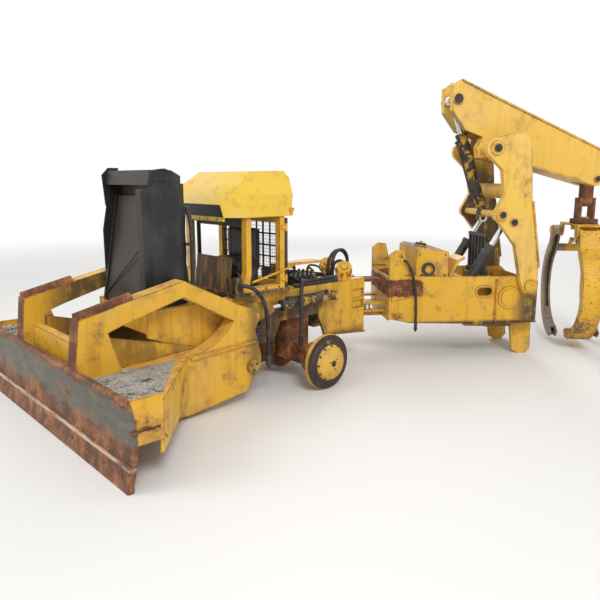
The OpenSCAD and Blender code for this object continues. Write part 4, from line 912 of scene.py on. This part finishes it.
class SKIDDER_OT_cab(bpy.types.Operator):
    """Add the mesh, the inner window frame, the seat's cushions and the small parts of the cab"""
    bl_idname = "skidder.cab"
    bl_label = "Cab pieces"

    def cushion(self, name, centre, half, axes):
        """Crowned pad: a rounded box whose face bulges towards its last axis, with a pressed seam."""
        count = 40
        under = count * count
        u, v = np.meshgrid(np.linspace(-1, 1, count), np.linspace(-1, 1, count), indexing="ij")
        crown = ((1 - np.abs(u) ** 5) * (1 - np.abs(v) ** 5)) ** 0.45
        seam = 0.14 * np.exp(-(np.abs(np.abs(v) - 0.46) / 0.035) ** 2)
        sag = 0.10 * np.exp(-((u - 0.1) ** 2 + v ** 2) / 0.25)
        creases = 0.05 * waves(np.stack([u, v, u * v], -1), 0.28, 12)
        sides = [np.sign(t) * np.abs(t) ** 0.85 for t in (u, v)]
        points = np.stack([np.stack([*sides, height], -1).reshape(-1, 3)
            for height in (crown * (1.0 - seam - sag + creases), -0.55 * crown)]).reshape(-1, 3)
        quads, border = square_grid(count)
        # Both faces share the points of their rim
        lower = np.arange(under) + under
        lower[border] = border
        used = np.ones(2 * under, bool)
        used[border + under] = False
        faces = (np.cumsum(used) - 1)[np.concatenate([quads, lower[quads[:, ::-1]]])]
        shape = Shape().add(points[used][:, axes] * half + centre, faces.tolist())
        shape.make(name, "front", "vinyl")

    def execute(self, context):
        mesh = Shape()
        for y in np.arange(-0.405, 0.406, 0.030):
            mesh.sweep([(1.336, y, 1.01), (1.336, y, 1.28), (1.336, y, 1.54)], 0.0016, 5)
        for z in np.arange(1.02, 1.54, 0.030):
            mesh.sweep([(1.339, -0.415, z), (1.339, 0, z), (1.339, 0.415, z)], 0.0016, 5)
        mesh.make("rear_mesh", "front", "greasy")

        inner = Shape()
        for y in (-0.404, 0.376):
            inner.box((1.640, y, 1.085), (1.668, y + 0.028, 1.535))
        for z in (1.085, 1.508):
            inner.box((1.641, -0.402, z), (1.667, 0.402, z + 0.026))
        inner.box((1.642, -0.402, 1.534), (1.690, 0.402, 1.596))
        inner.make("window_frame", "front", "soot")

        self.cushion("seat_cushion", (1.510, 0.0, 1.150), (0.140, 0.212, 0.062), axes=(0, 1, 2))
        self.cushion("back_cushion", (1.415, 0.0, 1.330), (0.062, 0.205, 0.150), axes=(2, 1, 0))

        bits = Shape()
        for z in (1.03, 1.50):
            bits.bar((1.288, 0.486, z - 0.035), UP, 0.012, 0.07, 14)
            bits.box((1.290, CAB_SIDE, z - 0.02), (1.345, 0.490, z + 0.02))
        bits.box((1.210, 0.470, 1.640), (1.262, 0.512, 1.672))
        bits.turned((1.236, 0.500, 1.606), UP, [(0, 0.016), (0.036, 0.016), (0.040, 0.010)], 14)
        bits.make("cab_hinges", "front", "golden")
        strut = Shape().sweep([(1.690, 0.492, 1.035), (1.45, 0.494, 1.085), (1.215, 0.496, 1.140)], 0.013, 4)
        strut.bolt((1.69, 0.500, 1.035), LEFT, 0.010)
        strut.make("door_strut", "front", "golden")

        dark = Shape().bolts([(x, CAB_SIDE, 0.962) for x in (1.37, 1.52, 1.66)], LEFT, 0.009)
        for y in np.arange(-0.27, 0.28, 0.135):
            dark.turned((1.893, y, 1.585), FORWARD, [(0, 0.007), (0.004, 0.006)], 10)
        dark.box((1.802, 0.4782, 0.972), (1.842, 0.4835, 1.012))
        dark.pipe([(1.815, 0.470, 1.085), (1.812, 0.468, 1.115), (1.822, 0.462, 1.135)], 0.007, 8)
        dark.make("cab_bolts", "front", "greasy")
        return {"FINISHED"}


# Valves and pipes on the deck

RAIL_TOP = 0.910
PIPE_ROUTES = (
    (0.010, [(0.7825, 0.225, 1.020), (0.7825, 0.228, 1.055), (0.775, 0.262, 1.082), (0.745, 0.330, 1.075),
        (0.715, 0.385, 1.030), (0.70, 0.398, 0.985), (0.70, 0.399, 0.955)]),
    (0.010, [(0.8425, 0.285, 1.020), (0.8425, 0.286, 1.045), (0.846, 0.318, 1.070), (0.858, 0.378, 1.052),
        (0.864, 0.400, 1.005), (0.866, 0.402, 0.955)]),
    (0.011, [(0.9025, 0.165, 1.020), (0.9025, 0.166, 1.060), (0.915, 0.150, 1.085), (0.99, 0.110, 1.092),
        (1.08, 0.075, 1.085), (1.17, 0.060, 1.065), (1.235, 0.055, 1.062)]),
    (0.010, [(0.9625, 0.225, 1.020), (0.9625, 0.226, 1.050), (0.975, 0.222, 1.072), (1.06, 0.205, 1.080),
        (1.16, 0.190, 1.076), (1.240, 0.186, 1.072)]),
)


class SKIDDER_OT_deck(bpy.types.Operator):
    """Add the spool caps, ports, steel pipes, hose ends and a loose plate behind the cab"""
    bl_idname = "skidder.deck"
    bl_label = "Deck pieces"

    def execute(self, context):
        valves = Shape()
        for k in range(5):
            x = 0.7825 + 0.060 * k
            valves.turned((x, 0.328, 0.965), LEFT, [(0, 0.019), (0.030, 0.019), (0.034, 0.014)])
            valves.bar((x, 0.328, 0.912), LEFT, 0.014, 0.016)
            valves.turned((x, 0.122, 0.965), -LEFT, [(0, 0.017), (0.052, 0.017), (0.056, 0.010)])
            for y in (0.165, 0.225, 0.285):
                plug = 0.016 + 0.008 * ((k + int(y * 100)) % 3)
                valves.bar((x, y, 0.999), UP, 0.016, 0.012)
                valves.bar((x, y, 1.010), UP, 0.011, plug, 16)
            valves.box((x - 0.026, 0.135, 0.985), (x + 0.026, 0.150, 1.006))
        valves.bolts([(x, y, 0.984) for x in (0.756, 1.049) for y in (0.145, 0.305)], UP, 0.009)
        valves.make("valve_caps", "front", "greasy")

        pipes = Shape()
        for radius, route in PIPE_ROUTES:
            pipes.pipe(route, radius)
        pipes.make("steel_pipes", "front", "barrel")

        ends = Shape()
        for y, lift, last in ((0.410, 0.0, 1.080), (0.374, 0.0, 1.080), (0.392, 0.0291, 0.990)):
            z = RAIL_TOP + 0.0182 + lift
            ends.turned((last - 0.030, y, z), FORWARD,
                [(0, 0.0195), (0.002, 0.0208), (0.034, 0.0208), (0.037, 0.017)])
            ends.bar((last + 0.004, y, z), FORWARD, 0.0175, 0.024)
            ends.turned((last + 0.026, y, z), FORWARD, [(0, 0.0125), (0.014, 0.0125), (0.020, 0.007)], 16)
            ends.turned((0.566, y, z), -FORWARD, [(-0.036, 0.0206), (0.002, 0.0206), (0.004, 0.017)])
            ends.bar((0.564, y, z), -FORWARD, 0.0172, 0.020)
        for x in (0.66, 0.93):
            ends.box((x, 0.352, 0.944), (x + 0.030, 0.372, 0.9475))
            ends.box((x, 0.350, RAIL_TOP + 0.0005), (x + 0.030, 0.3535, 0.947))
        ends.make("hose_ends", "front", "greasy")

        scrap = Shape().plate([(1.075, 0.275), (1.19, 0.268), (1.215, 0.322), (1.13, 0.338),
            (1.082, 0.326)], RAIL_TOP + 0.0005, 0.918, axis=2)
        scrap.plate([(1.120, 0.918), (1.150, 0.957), (1.155, 0.955), (1.127, 0.917)], 0.285, 0.325)
        scrap.make("loose_plate", "front", "flap")
        return {"FINISHED"}


# Hydraulic cylinders: the pins of base and rod, forward and up from the hinge

LIFT_PINS = (0.680, 0.795), (1.540, 0.785)
ARCH_PINS = (-1.180, 0.620), (-1.700, 1.480)
BOOM_PINS = (-1.560, 1.560), (-1.150, 2.760)


class SKIDDER_OT_cylinders(bpy.types.Operator):
    """Add the gland rings, ports and feed pipes of the lift, arch and boom cylinders"""
    bl_idname = "skidder.cylinders"
    bl_label = "Cylinder trim"

    def trim(self, pins, y, radius, length, eye_radius, port):
        """Trim of one barrel; its ports look along the port's direction, square to the barrel."""
        base, eye = [np.array((pin[0], y, pin[1])) for pin in pins]
        way = unit(eye - base)
        out = unit(port - way * way.dot(port))
        across = np.cross(way, out)
        start = eye_radius + 0.042
        shape = Shape().bar(base + way * (length - 0.001), way, radius + 0.004, 0.003, 32)
        for spot in (start + 0.035, length - 0.075):
            foot = base + way * spot + out * (radius - 0.004)
            shape.bar(foot, out, 0.020, 0.020, 20)
            shape.bar(foot + out * 0.018, out, 0.017, 0.016)
        near = base + way * (start + 0.055) + out * (radius + 0.018)
        shape.pipe([near, near + way * 0.05 + across * 0.004, near + way * 0.13 - out * 0.004,
            base + way * (length - 0.18) + out * (radius + 0.014),
            base + way * (length - 0.095) + out * (radius + 0.020)], 0.009, 10)
        for spot in (start + 0.18, length - 0.24):
            shape.bar(base + way * spot, way, radius + 0.0035, 0.022, 32)
        return shape.bolt_circle(base + way * (length + 0.0015), way, out, across, circle(6),
            radius - 0.004, 0.006)

    def execute(self, context):
        for side, name in SIDES.items():
            shape = self.trim(LIFT_PINS, 0.505 * side, 0.044, 0.690, 0.025, np.array((0.2, 0.0, 1.0)))
            shape.make(f"lift_trim_{name}", "lift_barrels", "greasy")
            shape = self.trim(ARCH_PINS, 0.330 * side, 0.052, 0.700, 0.025, np.array((0.35, -side, 0.0)))
            shape.make(f"arch_trim_{name}", "arch_barrels", "greasy", rear)
        shape = self.trim(BOOM_PINS, 0.0, 0.060, 0.900, 0.035, np.array((1.0, 0.0, -0.2)))
        shape.make("boom_trim", "boom_barrel", "greasy", rear)
        return {"FINISHED"}


# Hubs: distances of their disc and their middle cap from the machine's middle

HUB_DISC, HUB_CAP = 0.8645, 0.8995


class SKIDDER_OT_hubs(bpy.types.Operator):
    """Add the ring of bolts, the plug and the studs on both hubs"""
    bl_idname = "skidder.hubs"
    bl_label = "Hub bolts"

    def execute(self, context):
        centre = (np.array(JOINTS["hub_left_turn"]["pos_m"]) - HINGE) * (1, 0, 1)
        for side, name in SIDES.items():
            out = side * LEFT
            cap = centre + out * HUB_CAP
            shape = Shape().bolt_circle(centre + out * (HUB_DISC - 0.0005), out, FORWARD, UP, circle(12),
                0.160, 0.0115)
            shape.turned(cap, out, [(0, 0.030), (0.0025, 0.030), (0.004, 0.026)], 32)
            shape.turned(cap + out * 0.0035, out, [(0, 0.012), (0.010, 0.012), (0.012, 0.009)], 6)
            shape.bolt_circle(cap, out, FORWARD, UP, math.radians(20) + circle(3), 0.050, 0.007)
            shape.make(f"hub_bolts_{name}", f"hub_{name}", "greasy")
        return {"FINISHED"}


# Rear frame

TANK_SIDE = 0.3848


class SKIDDER_OT_rear_frame(bpy.types.Operator):
    """Add the filler cap with its handle, the gauge ring and the bolts of the tank"""
    bl_idname = "skidder.rear_frame"
    bl_label = "Rear frame pieces"

    def execute(self, context):
        ring = Shape().turned((-0.830, 0.0, 0.985), LEFT,
            [(0.388, 0.0665), (0.4325, 0.0672), (0.4355, 0.0560), (0.4325, 0.0435)], 48, closed=True)
        ring.make("gauge_ring", "rear", "soot", rear)

        neck, lean = np.array((-0.800, 0.180, 1.190)), math.radians(9)
        tilt = np.array((-math.sin(lean), 0, math.cos(lean)))
        cap = Shape().turned(neck + tilt * 0.0355, tilt,
            [(0, 0.058), (0.004, 0.060), (0.016, 0.060), (0.021, 0.054), (0.023, 0.030)], 32)
        handle = ((-0.030, 0.056), (-0.024, 0.068), (0.024, 0.068), (0.030, 0.056))
        cap.pipe([neck + LEFT * y + tilt * rise for y, rise in handle], 0.005, 8)
        cap.make("filler_cap", "rear", "flap", rear)

        bits = Shape().bolts([(x, TANK_SIDE, 0.915) for x in (-0.76, -0.90, -1.02)], LEFT, 0.011)
        bits.bolts([(x, TANK_SIDE, 1.13) for x in (-0.74, -1.02)], LEFT, 0.009)
        bits.bolts([(-0.6995, y, 0.935) for y in np.arange(-0.25, 0.36, 0.10)], FORWARD, 0.009)
        bits.make("tank_bolts", "rear", "rusty", rear)
        return {"FINISHED"}


# Arch and boom

BOOM_PIVOT, LINK_PIN = (-1.470, 2.240), (-2.780, 1.930)


class SKIDDER_OT_arch(bpy.types.Operator):
    """Add the caps on the pins of the arch and the boom, each with its bolts and grease point"""
    bl_idname = "skidder.arch"
    bl_label = "Pin caps"

    def cap(self, shape, centre, axis, radius, bolts, size):
        """Dished cap with a ring of bolts round its grease point."""
        shape.turned(centre, axis, [(0, radius), (0.004, radius), (0.007, radius * 0.9),
            (0.006, radius * 0.4)], 32)
        shape.turned(centre + axis * 0.005, axis, [(0, 0.008), (0.008, 0.006), (0.012, 0.004)], 12)
        shape.bolt_circle(centre + axis * 0.0055, axis, np.cross(axis, UP), UP, 0.3 + circle(bolts),
            radius * 0.68, size)

    def execute(self, context):
        arch, boom = Shape(), Shape()
        caps = (
            (arch, BOOM_PINS[0], 0.5548, 0.034, 3, 0.006),
            (arch, ARCH_PINS[1], 0.5288, 0.036, 3, 0.006),
            (arch, BOOM_PIVOT, 0.5448, 0.040, 3, 0.007),
            (boom, BOOM_PINS[1], 0.2098, 0.048, 4, 0.007),
            (boom, LINK_PIN, 0.2098, 0.030, 2, 0.006),
        )
        for side in (-1, 1):
            for shape, (x, z), y, *sizes in caps:
                self.cap(shape, np.array((x, side * y, z)), side * LEFT, *sizes)
        arch.make("arch_caps", "arch", "greasy", rear)
        boom.make("boom_caps", "boom", "greasy", rear)
        return {"FINISHED"}


# Stage

SKY_LIGHT = 0.62
CAMERA_PLACE = (4.892, 4.672, 1.919)
CAMERA_TURN, CAMERA_TILT = 47.96, 11.2


class SKIDDER_OT_stage(bpy.types.Operator):
    """Make the floor, the sky, the lamps and the camera at the photograph's angle"""
    bl_idname = "skidder.stage"
    bl_label = "Stage"

    def make_world(self):
        """White to the camera, in mirrors and through glass, and a softer grey sky as a light."""
        sky = Tree(bpy.data.worlds.new("studio"))
        camera, mirror, glass = [sky.node("ShaderNodeLightPath", {}, {}, f"Is {kind} Ray")
            for kind in ("Camera", "Glossy", "Transmission")]
        seen = camera.most(mirror).most(glass)
        background = sky.tree.nodes["Background"]
        sky.link((1.0, 1.0, 1.0), background.inputs["Color"])
        sky.link(seen * (1.0 - SKY_LIGHT) + SKY_LIGHT, background.inputs["Strength"])
        return sky.block

    def add_lamp(self, name, place, size, power):
        """Round lamp that looks at a point 1 m above the floor's middle."""
        data = bpy.data.lights.new(name, "AREA")
        data.shape, data.size, data.energy = "DISK", size, power
        lamp = bpy.data.objects.new(name, data)
        lamp.location = place
        aim = UP - place
        lamp.rotation_euler = (math.atan2(math.hypot(aim[0], aim[1]), -aim[2]), 0,
            math.atan2(aim[1], aim[0]) - math.pi / 2)
        bpy.context.collection.objects.link(lamp)

    def execute(self, context):
        scene = context.scene
        stage = scene.skidder_stage
        scene.view_settings.view_transform = "Standard"
        half = stage.floor_size / 2
        mesh = bpy.data.meshes.new("floor")
        mesh.from_pydata([(-half, -half, 0), (half, -half, 0), (half, half, 0), (-half, half, 0)],
            [], [(0, 1, 2, 3)])
        mesh.materials.append(pale_floor("pale_floor", 6.0, 17.0))
        floor = bpy.data.objects.new("floor", mesh)
        context.collection.objects.link(floor)

        scene.world = self.make_world()
        self.add_lamp("key", (5.5, 9.0, 9.5), 5.0, stage.key_power)
        self.add_lamp("fill", (9.5, -3.0, 6.0), 6.0, 0.38 * stage.key_power)
        self.add_lamp("back", (-7.0, -6.0, 7.0), 5.0, 0.40 * stage.key_power)

        camera = bpy.data.objects.new("camera", bpy.data.cameras.new("camera"))
        context.collection.objects.link(camera)
        camera.location = front(CAMERA_PLACE)
        camera.rotation_euler = (math.pi / 2 - math.radians(CAMERA_TILT), 0,
            math.pi / 2 + math.radians(CAMERA_TURN))
        camera.data.sensor_width = 36.0
        camera.data.lens = stage.lens
        scene.camera = camera
        return {"FINISHED"}


class SKIDDER_PT_panel(bpy.types.Panel):
    """Lists the skidder's groups of pieces"""
    bl_idname = "SKIDDER_PT_panel"
    bl_label = "Skidder"
    bl_space_type = "VIEW_3D"
    bl_region_type = "UI"
    bl_category = "Skidder"

    def draw(self, context):
        for operator in OPERATORS:
            self.layout.operator(operator.bl_idname)
        for settings in (context.scene.skidder_paint, context.scene.skidder_stage):
            for key in settings.__annotations__:
                self.layout.prop(settings, key)


OPERATORS = [
    SKIDDER_OT_stage,
    SKIDDER_OT_finishes,
    SKIDDER_OT_hoses,
    SKIDDER_OT_blade,
    SKIDDER_OT_cooler,
    SKIDDER_OT_cab,
    SKIDDER_OT_deck,
    SKIDDER_OT_cylinders,
    SKIDDER_OT_hubs,
    SKIDDER_OT_rear_frame,
    SKIDDER_OT_arch,
]
CLASSES = [PaintSettings, StageSettings, *OPERATORS, SKIDDER_PT_panel]


def register():
    for cls in CLASSES:
        bpy.utils.register_class(cls)
    bpy.types.Scene.skidder_paint = PointerProperty(type=PaintSettings)
    bpy.types.Scene.skidder_stage = PointerProperty(type=StageSettings)


def unregister():
    del bpy.types.Scene.skidder_stage
    del bpy.types.Scene.skidder_paint
    for cls in reversed(CLASSES):
        bpy.utils.unregister_class(cls)


def main():
    register()
    for operator in OPERATORS:
        group, name = operator.bl_idname.split(".")
        getattr(getattr(bpy.ops, group), name)()


if __name__ == "__main__":
    main()
